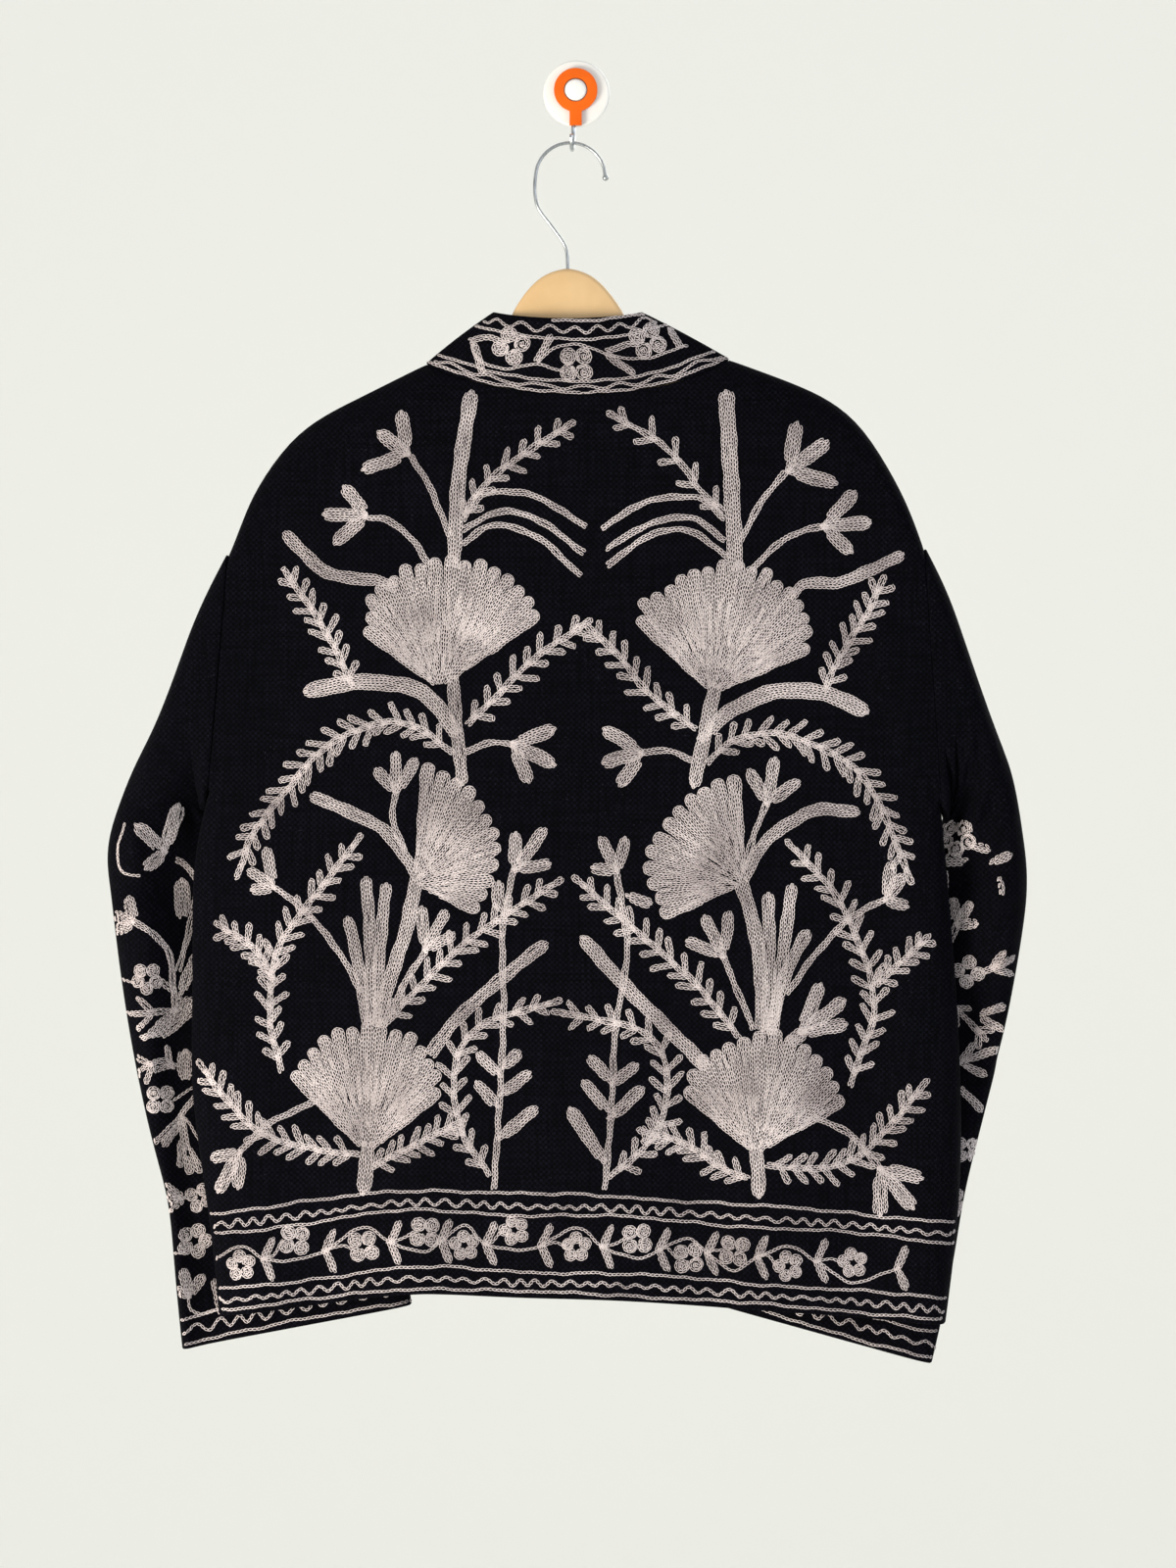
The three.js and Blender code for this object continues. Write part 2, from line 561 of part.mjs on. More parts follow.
// Steel pin below the stem: down, out from the wall and up again, with the hanger's wire in its bend.
function pinGeometry() {
  const startY = -DISC_THICK - SEAM - RING_THICK / 2;
  const seatZ = CROWN.z + CROWN_RADIUS - WIRE_RADIUS - 1.5 * SEAM - PIN_RADIUS;
  const route = new THREE.CatmullRomCurve3([
    vec(-2, startY, STEM_END_Z - SEAM),
    vec(-2, startY, STEM_END_Z - 6),
    vec(-2.4, startY - 3, seatZ + 6),
    vec(-2.8, startY - 10, seatZ + 1.4),
    vec(-3, MID_Y + 8, seatZ + 0.3),
    vec(-3, MID_Y, seatZ),
    vec(-3, MID_Y - 5, seatZ + 2.6),
    vec(-3, MID_Y - 7, seatZ + 8),
  ], false, 'centripetal');
  return wireGeometry(route, PIN_RADIUS, 24);
}

// ---------------------------------------------------------------- scene graph
const CLOTH_LOOK = { color: 0x0d0d14, roughness: 0.95, metalness: 0 };
const STEEL_LOOK = { color: 0xb9bcc0, roughness: 0.3, metalness: 1 };
const PIECES = [
  { name: 'back', geometry: backGeometry(), look: CLOTH_LOOK },
  { name: 'left_front', geometry: frontGeometry(true), look: CLOTH_LOOK },
  { name: 'right_front', geometry: frontGeometry(false), look: CLOTH_LOOK },
  { name: 'left_sleeve', geometry: sleeveGeometry(true), look: CLOTH_LOOK },
  { name: 'right_sleeve', geometry: sleeveGeometry(false), look: CLOTH_LOOK },
  { name: 'collar', geometry: collarGeometry(), look: CLOTH_LOOK },
  { name: 'hanger', geometry: hangerGeometry(), look: { color: 0xe6c690, roughness: 0.45, metalness: 0 } },
  { name: 'hanger_hook', geometry: hangerHookGeometry(), look: STEEL_LOOK },
  { name: 'wall_disc', geometry: discGeometry(), look: { color: 0xf2f2f0, roughness: 0.3, metalness: 0 } },
  { name: 'wall_ring', geometry: ringGeometry(), look: { color: 0xe8681c, roughness: 0.4, metalness: 0 } },
  { name: 'wall_button', geometry: buttonGeometry(), look: { color: 0xf2f2f0, roughness: 0.3, metalness: 0 } },
  { name: 'wall_pin', geometry: pinGeometry(), look: STEEL_LOOK },
];

const jacket = new THREE.Group();
PIECES.forEach(({ name, geometry, look }) => {
  const mesh = new THREE.Mesh(geometry, new THREE.MeshStandardMaterial(look));
  mesh.name = name;
  jacket.add(mesh);
});

export default jacket;
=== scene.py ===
"""Dresses an embroidered cloth jacket that hangs, back outwards, on a shaped hanger from a wall hook.

Lengths are in metres and in the row's frame: +Z up, the wall is y = 0, the jacket's back is turned to -Y.
The embroidery is laid out on a pattern chart of 2/3 mm squares: u runs to the right, v down.
"""

import logging
import math
from dataclasses import dataclass, field
from enum import Enum

import bmesh
import bpy
import numpy as np
from bpy.types import ID, Material, Mesh, Node, NodeSocket, NodeTree, Object
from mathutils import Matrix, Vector, noise
from mathutils.bvhtree import BVHTree


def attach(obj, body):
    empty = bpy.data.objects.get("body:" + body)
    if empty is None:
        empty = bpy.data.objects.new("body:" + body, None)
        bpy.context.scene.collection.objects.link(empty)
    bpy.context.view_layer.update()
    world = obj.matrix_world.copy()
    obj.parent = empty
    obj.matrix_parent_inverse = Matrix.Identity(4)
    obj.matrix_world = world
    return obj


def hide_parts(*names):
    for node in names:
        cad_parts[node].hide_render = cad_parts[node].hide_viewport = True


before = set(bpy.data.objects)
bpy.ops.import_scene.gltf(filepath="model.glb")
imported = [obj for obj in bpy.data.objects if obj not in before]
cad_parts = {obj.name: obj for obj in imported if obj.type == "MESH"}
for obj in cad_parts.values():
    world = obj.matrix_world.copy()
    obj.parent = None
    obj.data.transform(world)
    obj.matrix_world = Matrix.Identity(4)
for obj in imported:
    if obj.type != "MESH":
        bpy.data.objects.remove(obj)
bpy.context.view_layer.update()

logging.basicConfig(level=logging.INFO, format="%(message)s")
log = logging.getLogger("jacket")

MM = 0.001
CHART_STEP = 2.0 / 3.0 * MM  # one square of the pattern chart
CHART_ZERO = (588.0, 85.0)  # the square that lies on the middle of the wall disc
ROW_WIDTH = 3.4  # one chain of stitches, in squares: 2.3 mm
DENSE_ROW = 2.9  # the same where chains are packed side by side
STITCH_PITCH = 2.9 * MM  # from one chain link to the next
LINK_WIDTH = 2.4 * MM
LINK_LENGTH = 4.5 * MM  # a link reaches under the next one
YARN_RADIUS = 0.37 * MM
STITCH_SINK = 0.1 * MM  # how far the yarn is pressed into the cloth
RAY_START_Y = 0.25  # in front of or behind the cloth, from where stitches are dropped on it
SPAN_STEPS = 16  # points drawn between two given points of a smooth path

Point = tuple[float, float]
Place = tuple[float, float, float]
Rows = list[np.ndarray]


class Facing(Enum):
    """The side of the jacket on which stitches lie, as the sign of y towards its viewer."""

    ROOM = -1.0
    WALL = 1.0


# ---------------------------------------------------------------- helpers
def hex_colour(code: str) -> tuple[float, float, float, float]:
    """Turns an sRGB hex colour to linear.

    Args:
        code: six hex digits after a hash.

    Returns:
        Linear red, green, blue and an alpha of one.
    """
    parts = [int(code[i : i + 2], 16) / 255 for i in (1, 3, 5)]
    linear = [c / 12.92 if c <= 0.04045 else ((c + 0.055) / 1.055) ** 2.4 for c in parts]
    return (linear[0], linear[1], linear[2], 1.0)


def add_node(
    tree: NodeTree, kind: str, inputs: dict | None = None,
    stops: tuple[tuple[float, str], ...] = (), **settings: object,
) -> Node:
    """Adds one node with its settings and links.

    Args:
        tree: the node tree it goes in.
        kind: Blender's name for the type of node.
        inputs: by name or number, a plain value, a socket, or a node for its first output.
        stops: place and hex colour of each end of a colour ramp.
        settings: properties of the node.

    Returns:
        The new node.
    """
    node = tree.nodes.new(kind)
    for name, value in settings.items():
        setattr(node, name, value)
    for key, value in (inputs or {}).items():
        source = value.outputs[0] if isinstance(value, Node) else value
        if isinstance(source, NodeSocket):
            tree.links.new(source, node.inputs[key])
        else:
            node.inputs[key].default_value = source
    for number, (place, code) in enumerate(stops):
        node.color_ramp.elements[number].position = place
        node.color_ramp.elements[number].color = hex_colour(code)
    return node


def new_material(name: str) -> tuple[Material, NodeTree]:
    """Starts a node material.

    Args:
        name: the finish, in a maker's words.

    Returns:
        The material and its empty tree.
    """
    material = bpy.data.materials.new(name)
    material.use_nodes = True
    material.node_tree.nodes.clear()
    return material, material.node_tree


def close_material(material: Material, inputs: dict) -> Material:
    """Ends a material with its shader.

    Args:
        material: the started material.
        inputs: values and links of the shader.

    Returns:
        The same material.
    """
    shader = add_node(material.node_tree, "ShaderNodeBsdfPrincipled", inputs)
    add_node(material.node_tree, "ShaderNodeOutputMaterial", {"Surface": shader})
    return material


def add_object(name: str, data: ID) -> Object:
    """Puts a new object in the scene.

    Args:
        name: its name.
        data: its mesh, light or camera.

    Returns:
        The object.
    """
    obj = bpy.data.objects.new(name, data)
    bpy.context.scene.collection.objects.link(obj)
    return obj


def paired(first: np.ndarray, second: np.ndarray) -> np.ndarray:
    """Joins two lists of coordinates to points, one a row."""
    return np.stack([first, second], axis=1)


def on_chart(points: np.ndarray) -> np.ndarray:
    """Turns chart squares (u, v) to metres (x, z)."""
    return paired((points[:, 0] - CHART_ZERO[0]) * CHART_STEP, (CHART_ZERO[1] - points[:, 1]) * CHART_STEP)


def left_of(way: np.ndarray) -> np.ndarray:
    """Turns a direction by a quarter, to its left."""
    return np.array([-way[1], way[0]])


def pointing(angle: float) -> np.ndarray:
    """Unit direction at an angle in radians."""
    return np.array([math.cos(angle), math.sin(angle)])


def side_by_side(count: int, spacing: float) -> np.ndarray:
    """Offsets of chains laid side by side about their middle."""
    return (np.arange(count) - (count - 1) / 2) * spacing


def swaying(place: np.ndarray, waves: tuple[Point, ...], phases: tuple[float, ...]) -> np.ndarray:
    """Adds up slow waves of a given height and length, as the hand's unevenness."""
    return sum(height * np.sin(place / length + phase) for (height, length), phase in zip(waves, phases))


def smooth_step(low: float, high: float, value: np.ndarray | float) -> np.ndarray | float:
    """Rises smoothly from 0 at low to 1 at high."""
    share = np.clip((value - low) / (high - low), 0.0, 1.0)
    return share * share * (3.0 - 2.0 * share)


def resample(path: np.ndarray, spacing: float) -> np.ndarray:
    """Spaces points evenly along a path.

    Args:
        path: corner points, one a row.
        spacing: wanted distance between two points.

    Returns:
        Points at about that spacing, with both ends kept.
    """
    along = np.concatenate([[0.0], np.cumsum(np.hypot(*np.diff(path, axis=0).T))])
    at = np.linspace(0.0, along[-1], max(2, int(round(along[-1] / spacing)) + 1))
    return paired(np.interp(at, along, path[:, 0]), np.interp(at, along, path[:, 1]))


def smooth_path(points: tuple[Point, ...] | np.ndarray, spacing: float = 2.0) -> np.ndarray:
    """Draws a smooth curve through a few points.

    Args:
        points: the points it runs through, in chart squares.
        spacing: distance between the points of the result.

    Returns:
        Points along the curve, one a row.
    """
    p = np.asarray(points, float)
    if len(p) == 2:
        return resample(p, spacing)
    padded = np.vstack([2 * p[0] - p[1], p, 2 * p[-1] - p[-2]])
    t = np.linspace(0.0, 1.0, SPAN_STEPS, endpoint=False)[:, None]
    spans = [
        0.5 * (2 * b + (c - a) * t + (2 * a - 5 * b + 4 * c - d) * t**2 + (3 * b - a - 3 * c + d) * t**3)
        for a, b, c, d in zip(padded, padded[1:], padded[2:], padded[3:])
    ]
    return resample(np.vstack([*spans, p[-1:]]), spacing)


def normals_of(path: np.ndarray) -> np.ndarray:
    """Unit normals, to the left of the way along a path."""
    tangent = np.gradient(path, axis=0)
    tangent /= np.maximum(np.hypot(*tangent.T), 1e-9)[:, None]
    return paired(-tangent[:, 1], tangent[:, 0])


# ---------------------------------------------------------------- finishes
@dataclass(frozen=True)
class WovenCotton:
    """Heavy plain-weave cotton, dyed blue-black: matt, with a fine grid of threads and a few thick ones. The
    low places between the threads are painted darker, as painted shade.
    """

    # painted shade: deep is painted into the low places of the weave, between the threads; thread is the
    # colour on their crowns
    deep: str = "#010102"
    thread: str = "#0d0d16"
    lint: str = "#1c1c24"
    bloom: str = "#8a8ca8"  # of its faint sheen
    thread_pitch: float = 1.9 * MM  # real threads are 1.1 mm apart; drawn coarser so that they show
    wander: float = 2.5 * MM  # how far a thread strays from its line
    wander_scale: float = 45.0  # it does so over 22 mm
    slub_scale: Point = (700.0, 40.0)  # a thick place is 1.4 mm across the thread and 25 mm along it
    lint_scale: float = 900.0  # a speck of lint is 1.1 mm wide
    relief: float = 0.5 * MM

    def make(self) -> Material:
        """Builds the material.

        Returns:
            The woven cloth.
        """
        material, tree = new_material("woven_blue_black_cotton")
        place = add_node(tree, "ShaderNodeTexCoord").outputs["Object"]
        axes = add_node(tree, "ShaderNodeSeparateXYZ", {"Vector": place}).outputs
        stray = add_node(tree, "ShaderNodeTexNoise", {0: place, "Scale": self.wander_scale, "Detail": 2.0})
        waves_per_metre = math.pi / self.thread_pitch
        waves = []
        for axis in ("X", "Z"):
            bent = add_node(
                tree, "ShaderNodeMath", {0: stray, 1: self.wander, 2: axes[axis]}, operation="MULTIPLY_ADD"
            )
            turn = add_node(tree, "ShaderNodeMath", {0: bent, 1: waves_per_metre}, operation="MULTIPLY")
            waves.append(add_node(tree, "ShaderNodeMath", {0: turn}, operation="COSINE"))
        weave = add_node(tree, "ShaderNodeMath", {0: waves[0], 1: waves[1]}, operation="MULTIPLY")
        height = add_node(tree, "ShaderNodeMath", {0: weave, 1: 0.5, 2: 0.5}, operation="MULTIPLY_ADD")
        across, along = self.slub_scale
        slubs = []
        for stretch in ((across, across, along), (along, across, across)):
            run = add_node(tree, "ShaderNodeMapping", {"Vector": place, "Scale": stretch})
            slubs.append(add_node(tree, "ShaderNodeTexNoise", {0: run, "Scale": 1.0, "Detail": 1.0}))
        slub = add_node(tree, "ShaderNodeMath", {0: slubs[0], 1: slubs[1]}, operation="MULTIPLY")
        shade = add_node(tree, "ShaderNodeMath", {0: height, 1: slub}, operation="MULTIPLY")
        # Partly painted shade: the colour falls from thread to deep where the weave lies low; the grid and
        # the thick places are the cloth's own
        base = add_node(tree, "ShaderNodeValToRGB", {0: shade}, ((0.02, self.deep), (0.42, self.thread)))
        specks = add_node(tree, "ShaderNodeTexNoise", {0: place, "Scale": self.lint_scale, "Detail": 0.0})
        speck = add_node(tree, "ShaderNodeValToRGB", {0: specks}, ((0.8, "#000000"), (0.86, "#ffffff")))
        lint = hex_colour(self.lint)
        mixed = add_node(tree, "ShaderNodeMix", {0: speck, 6: base, 7: lint}, data_type="RGBA")
        bump = add_node(tree, "ShaderNodeBump", {"Height": shade, "Strength": 0.55, "Distance": self.relief})
        return close_material(material, {
            "Base Color": mixed.outputs[2], "Normal": bump, "Roughness": 0.92, "Specular IOR Level": 0.04,
            "Sheen Weight": 0.01, "Sheen Roughness": 0.5, "Sheen Tint": hex_colour(self.bloom),
        })


@dataclass(frozen=True)
class EmbroideryYarn:
    """Soft unglazed cotton yarn, dyed a warm grey: matt, a little uneven from skein to skein. Each link is
    painted darker towards its foot, as painted shade beside the raised yarn.
    """

    dark: str = "#a79d9d"
    light: str = "#e9dfde"
    between: str = "#5c5555"  # painted shade: the crest of the yarn keeps its colour, its foot is painted this much darker
    skein_scale: float = 28.0  # the dye changes over 36 mm
    ply_scale: float = 1100.0  # its plies are 0.9 mm long; real ones are finer, but would not show
    relief: float = 0.25 * MM

    def make(self) -> Material:
        """Builds the material.

        Returns:
            The yarn.
        """
        material, tree = new_material("unglazed_cotton_yarn")
        place = add_node(tree, "ShaderNodeTexCoord").outputs["Object"]
        skein = add_node(tree, "ShaderNodeTexNoise", {0: place, "Scale": self.skein_scale, "Detail": 2.0})
        ply = add_node(tree, "ShaderNodeTexNoise", {0: place, "Scale": self.ply_scale, "Detail": 1.0})
        both = add_node(tree, "ShaderNodeMath", {0: ply, 1: 0.55, 2: skein}, operation="MULTIPLY_ADD")
        dye = add_node(tree, "ShaderNodeValToRGB", {0: both}, ((0.5, self.dark), (1.02, self.light)))
        # Painted shade: the dye is multiplied by a ramp on the link's crest attribute, from the foot's dark
        # colour to white on the ridge; dyed holds the dye with this painted shade.
        crest = add_node(tree, "ShaderNodeAttribute", attribute_name="crest").outputs["Fac"]
        painted_foot_shade = add_node(tree, "ShaderNodeValToRGB", {0: crest}, ((0.05, self.between), (0.8, "#ffffff")))
        dyed = add_node(
            tree, "ShaderNodeMix", {0: 1.0, 6: dye, 7: painted_foot_shade}, data_type="RGBA", blend_type="MULTIPLY"
        )
        bump = add_node(tree, "ShaderNodeBump", {"Height": ply, "Strength": 0.5, "Distance": self.relief})
        return close_material(material, {
            "Base Color": dyed.outputs[2], "Normal": bump, "Roughness": 0.88, "Specular IOR Level": 0.25,
            "Sheen Weight": 0.12, "Sheen Roughness": 0.6,
        })


@dataclass(frozen=True)
class MouldedPlastic:
    """Moulded plastic: one colour all through, with a faint waviness from the mould."""

    name: str
    colour: str
    shade: str
    roughness: float
    coat: float = 0.0
    specular: float = 0.5
    mottle: float = 0.12  # how much the roughness changes from place to place
    cloud_scale: float = 30.0  # the gloss changes over 33 mm
    grain_scale: float = 800.0  # grain of the mould, 1.2 mm
    relief: float = 0.1 * MM

    def make(self) -> Material:
        """Builds the material.

        Returns:
            The plastic.
        """
        material, tree = new_material(self.name)
        place = add_node(tree, "ShaderNodeTexCoord").outputs["Object"]
        cloud = add_node(tree, "ShaderNodeTexNoise", {0: place, "Scale": self.cloud_scale, "Detail": 3.0})
        tint = add_node(tree, "ShaderNodeValToRGB", {0: cloud}, ((0.3, self.shade), (0.62, self.colour)))
        grain = add_node(tree, "ShaderNodeTexNoise", {0: place, "Scale": self.grain_scale, "Detail": 1.0})
        bump = add_node(tree, "ShaderNodeBump", {"Height": grain, "Strength": 0.08, "Distance": self.relief})
        least = self.roughness - self.mottle / 2
        rough = add_node(
            tree, "ShaderNodeMath", {0: cloud, 1: self.mottle, 2: least}, operation="MULTIPLY_ADD"
        )
        return close_material(material, {
            "Base Color": tint, "Normal": bump, "Roughness": rough, "IOR": 1.49,
            "Specular IOR Level": self.specular, "Coat Weight": self.coat, "Coat Roughness": 0.08,
        })


@dataclass(frozen=True)
class DrawnSteel:
    """Bright drawn steel wire: faint scratches run along it and stretch its highlights."""

    colour: str = "#aeb2b4"
    worn: str = "#7e8284"
    scratch_scale: Place = (1800.0, 1800.0, 160.0)  # a scratch is 0.6 mm wide and 6 mm long

    def make(self) -> Material:
        """Builds the material.

        Returns:
            The steel.
        """
        material, tree = new_material("bright_drawn_steel")
        place = add_node(tree, "ShaderNodeTexCoord").outputs["Object"]
        run = add_node(tree, "ShaderNodeMapping", {"Vector": place, "Scale": self.scratch_scale})
        scratch = add_node(tree, "ShaderNodeTexNoise", {0: run, "Scale": 1.0, "Detail": 2.0})
        tint = add_node(tree, "ShaderNodeValToRGB", {0: scratch}, ((0.32, self.worn), (0.55, self.colour)))
        rough = add_node(tree, "ShaderNodeMath", {0: scratch, 1: 0.2, 2: 0.14}, operation="MULTIPLY_ADD")
        return close_material(material, {"Base Color": tint, "Roughness": rough, "Metallic": 1.0})


@dataclass(frozen=True)
class MattPaint:
    """Matt paint on the stage around the part."""

    colour: str

    def make(self) -> Material:
        """Builds the material."""
        material, _ = new_material("pale_matt_paint")
        return close_material(material, {"Base Color": hex_colour(self.colour), "Roughness": 0.9})


# ---------------------------------------------------------------- embroidery motifs
@dataclass(frozen=True)
class Stem:
    """One or more chains side by side along a path."""

    path: tuple[Point, ...]
    chains: int = 1

    def rows(self) -> Rows:
        """Lays the chains.

        Returns:
            One path on the chart for each chain.
        """
        middle = smooth_path(self.path)
        side = normals_of(middle)
        return [middle + side * offset for offset in side_by_side(self.chains, ROW_WIDTH)]


@dataclass(frozen=True)
class Blade:
    """A long leaf or petal: chains side by side, the outer ones shorter, so both ends are rounded."""

    path: tuple[Point, ...]
    width: float
    root: float = 0.35  # share of the full width at its start
    shoulder: float = 0.4  # share of its length over which it widens
    nose: float = 0.55  # length of its round tip, in widths
    tightest: float = 0.55  # the outer chains close in to this share of their distance
    leeway: float = 0.98  # a chain fits where the leaf is this share of its distance wide
    shortest: int = 4  # a chain with no more points than this is left out or laid near the middle

    def rows(self) -> Rows:
        """Lays the chains.

        Returns:
            One path on the chart for each chain.
        """
        middle = smooth_path(self.path, 1.0)
        side = normals_of(middle)
        share = np.linspace(0.0, 1.0, len(middle))
        start = self.root + (1 - self.root) * smooth_step(0.0, self.shoulder, share)
        tip = np.clip(1 - (1 - share) * len(middle) / (self.nose * self.width), 0, 1)
        half = self.width / 2 * np.minimum(start, np.sqrt(np.clip(1 - tip**2, 0, 1)))
        squeeze = np.maximum(np.minimum(1.0, half / (self.width / 2)), self.tightest)[:, None]
        chains = max(1, int(round(self.width / DENSE_ROW)))
        laid = []
        for offset in side_by_side(chains, self.width / chains):
            inside = np.nonzero(half >= abs(offset) * self.leeway)[0]
            if len(inside) > self.shortest:
                laid.append((middle + side * offset * squeeze)[inside[0] : inside[-1] + 1])
            elif abs(offset) < ROW_WIDTH:
                laid.append(middle + side * offset * 0.5)
        return laid


@dataclass(frozen=True)
class Tulip:
    """A bud of short blades that spread from one point."""

    base: Point
    tips: tuple[Point, ...]
    width: float = 12.0
    root: float = 0.5

    def rows(self) -> Rows:
        """Lays the chains of each petal.

        Returns:
            One path on the chart for each chain.
        """
        return chains_of([Blade((self.base, tip), self.width, self.root) for tip in self.tips])


@dataclass(frozen=True)
class Fern:
    """A stem with pairs of narrow looped leaflets that point forwards."""

    path: tuple[Point, ...]
    pairs: int
    leaf: float = 20.0  # length of a leaflet, in squares
    spread: float = 46.0  # its angle to the stem, in degrees
    chains: int = 2
    half: float = 1.75  # half its width
    outline: tuple[Point, ...] = ((0.0, 0.5), (0.2, 0.9), (0.55, 1.05), (0.86, 1.0), (0.97, 0.0))
    reach: Point = (0.05, 0.93)  # shares of the stem at the first and the last pair
    fullest: float = 0.45  # share of the stem at which the leaflets are longest
    taper: Point = (1.12, 0.24)  # length of those, and how much shorter the outer ones are
    play: Point = (0.1, 8.0)  # unevenness of the lengths, and of the angles in degrees
    beat: Point = (2.7, 1.9)  # its phase from one pair to the next, of the lengths and of the angles
    last: float = 0.8  # length of the leaflet at the stem's end
    stagger: int = 4  # the leaflets on one side stand this much further on

    def loop(self, root: np.ndarray, angle: float, length: float) -> np.ndarray:
        """Draws one leaflet: a chain that runs out, turns round and runs back.

        Args:
            root: where it starts, on the chart.
            angle: the way it points, in radians.
            length: from root to tip.

        Returns:
            Its path on the chart.
        """
        ahead = pointing(angle)
        across = left_of(ahead) * self.half
        around = [*self.outline, *((along, -aside) for along, aside in self.outline[-2::-1])]
        return smooth_path(np.array([root + ahead * length * a + across * b for a, b in around]), 1.5)

    def rows(self) -> Rows:
        """Lays the stem and its leaflets, which differ a little in length and angle.

        Returns:
            One path on the chart for each chain.
        """
        laid = Stem(self.path, self.chains).rows()
        middle = smooth_path(self.path, 1.0)
        heading = [math.atan2(v, u) for u, v in np.gradient(middle, axis=0)]
        for number, spot in enumerate(np.linspace(*self.reach, self.pairs)):
            at = int(spot * (len(middle) - 1))
            length = self.leaf * (self.taper[0] - self.taper[1] * 2 * abs(spot - self.fullest))
            length = length * (1.0 + self.play[0] * math.sin(self.beat[0] * number))
            for sign in (-1, 1):
                sway = self.play[1] * math.sin(self.beat[1] * number + 2 * sign)
                turn = math.radians(self.spread + sway) * sign
                shifted = min(len(middle) - 1, at + (self.stagger if sign > 0 else 0))
                laid.append(self.loop(middle[shifted], heading[at] + turn, length))
        laid.append(self.loop(middle[-3], heading[-1], self.leaf * self.last))
        return laid


@dataclass(frozen=True)
class Fan:
    """A carnation head: petals of radial chains side by side, each with a chain round its end."""

    base: Point
    rim: tuple[Point, ...]
    lobes: int
    gap: float = 1.7  # space between two petal ends, in squares
    foot: float = 13.0  # width of the place in which the petals meet
    inner_start: float = 0.47  # share of the way out at which every second chain starts
    ragged: Point = (0.975, 1.03)  # least and most length of a petal, as a share
    parting: Point = (0.86, 0.98)  # shares of the way out between which neighbouring petals part
    short_fall: Point = (0.9, 0.3)  # an inner chain ends this many rows inside, and more off the middle
    head_start: Point = (0.7, 1.05)  # play of the places at which the chains start
    nearest: float = 0.03  # the innermost of them
    steps: int = 16  # points on each radial chain
    turn_steps: int = 7  # and round a petal's end

    def rows(self) -> Rows:
        """Lays the chains from the rim inwards, fewer and fewer of them towards the base.

        Returns:
            One path on the chart for each chain.
        """
        rim = smooth_path(self.rim, 1.0)
        level = (rim[-1] - rim[0]) / math.hypot(*(rim[-1] - rim[0]))
        chance = np.random.default_rng(int(self.base[0] * 7 + self.base[1]))
        spread = len(rim) / self.lobes
        inner = max(1, int(round((spread - self.gap) / DENSE_ROW)) - 2)
        half = (spread - self.gap) / 2 - ROW_WIDTH / 2
        laid = []
        for lobe in range(self.lobes):
            tip = rim[min(len(rim) - 1, int((lobe + 0.5) / self.lobes * len(rim)))]
            base = np.array(self.base) + level * self.foot * ((lobe + 0.5) / self.lobes - 0.5)
            tip = base + (tip - base) * chance.uniform(*self.ragged)
            length = math.hypot(*(tip - base))
            ahead = (tip - base) / length
            across = left_of(ahead)
            first = lobe * (inner + 2)
            sides = []
            for edge, number in ((-1, first), (1, first + inner + 1)):
                share = np.linspace(self.start(number, chance), 1 - half / length, self.steps)[:, None]
                wide = (half + self.gap / 2 * (1 - smooth_step(*self.parting, share))) * share
                sides.append(base + ahead * length * share + across * edge * wide)
            around = np.linspace(-math.pi / 2, math.pi / 2, self.turn_steps)[1:-1, None]
            centre = base + ahead * (length - half)
            cap = centre + (ahead * np.cos(around) + across * np.sin(around)) * half
            laid.append(np.vstack([sides[0], cap, sides[1][::-1]]))
            for number in range(inner):
                place = ((number + 1) / (inner + 1) * 2 - 1) * half
                end = 1 - (ROW_WIDTH * self.short_fall[0] + self.short_fall[1] * abs(place)) / length
                share = np.linspace(self.start(first + 1 + number, chance), end, self.steps)[:, None]
                laid.append(base + ahead * length * share + across * place * share)
        return laid

    def start(self, number: int, chance: np.random.Generator) -> float:
        """Share of the way out at which a chain starts: every second one lies further out."""
        deep = (number & -number).bit_length() - 1 if number else 9
        return max(self.nearest, self.inner_start / 2**deep * chance.uniform(*self.head_start))


@dataclass(frozen=True)
class Rosette:
    """A small flower of round petals, each one chain wound in a spiral."""

    centre: Point
    petal: float = 6.6  # radius, in squares
    petals: int = 4
    turn: float = 45.0  # degrees
    apart: Point = (1.3, 1.42)  # from the flower's heart to a petal's, in radii: of four petals, of five
    windings: float = 2.7
    inset: float = 1.6  # the outer turn lies this far inside the petal's edge
    closing: float = 1.4  # how fast the spiral closes in
    steps: int = 48
    heart: float = 0.1  # share of the radius at which the spiral ends

    def rows(self) -> Rows:
        """Winds the petals.

        Returns:
            One path on the chart for each petal.
        """
        laid = []
        along = np.linspace(0.0, 1.0, self.steps)
        reach = self.petal * self.apart[self.petals - 4]
        for number in range(self.petals):
            around = math.radians(self.turn) + 2 * math.pi * number / self.petals
            theta = around + math.pi + along * 2 * math.pi * self.windings
            radius = (self.petal - self.inset) * np.clip((1 - along) * self.closing, self.heart, 1.0)
            middle = np.array(self.centre) + reach * pointing(around)
            laid.append(middle + paired(np.cos(theta), np.sin(theta)) * radius[:, None])
        return laid


Motif = Stem | Blade | Tulip | Fern | Fan | Rosette


def chains_of(motifs: list[Motif]) -> Rows:
    """Lays the chains of several motifs, in order."""
    return [row for motif in motifs for row in motif.rows()]


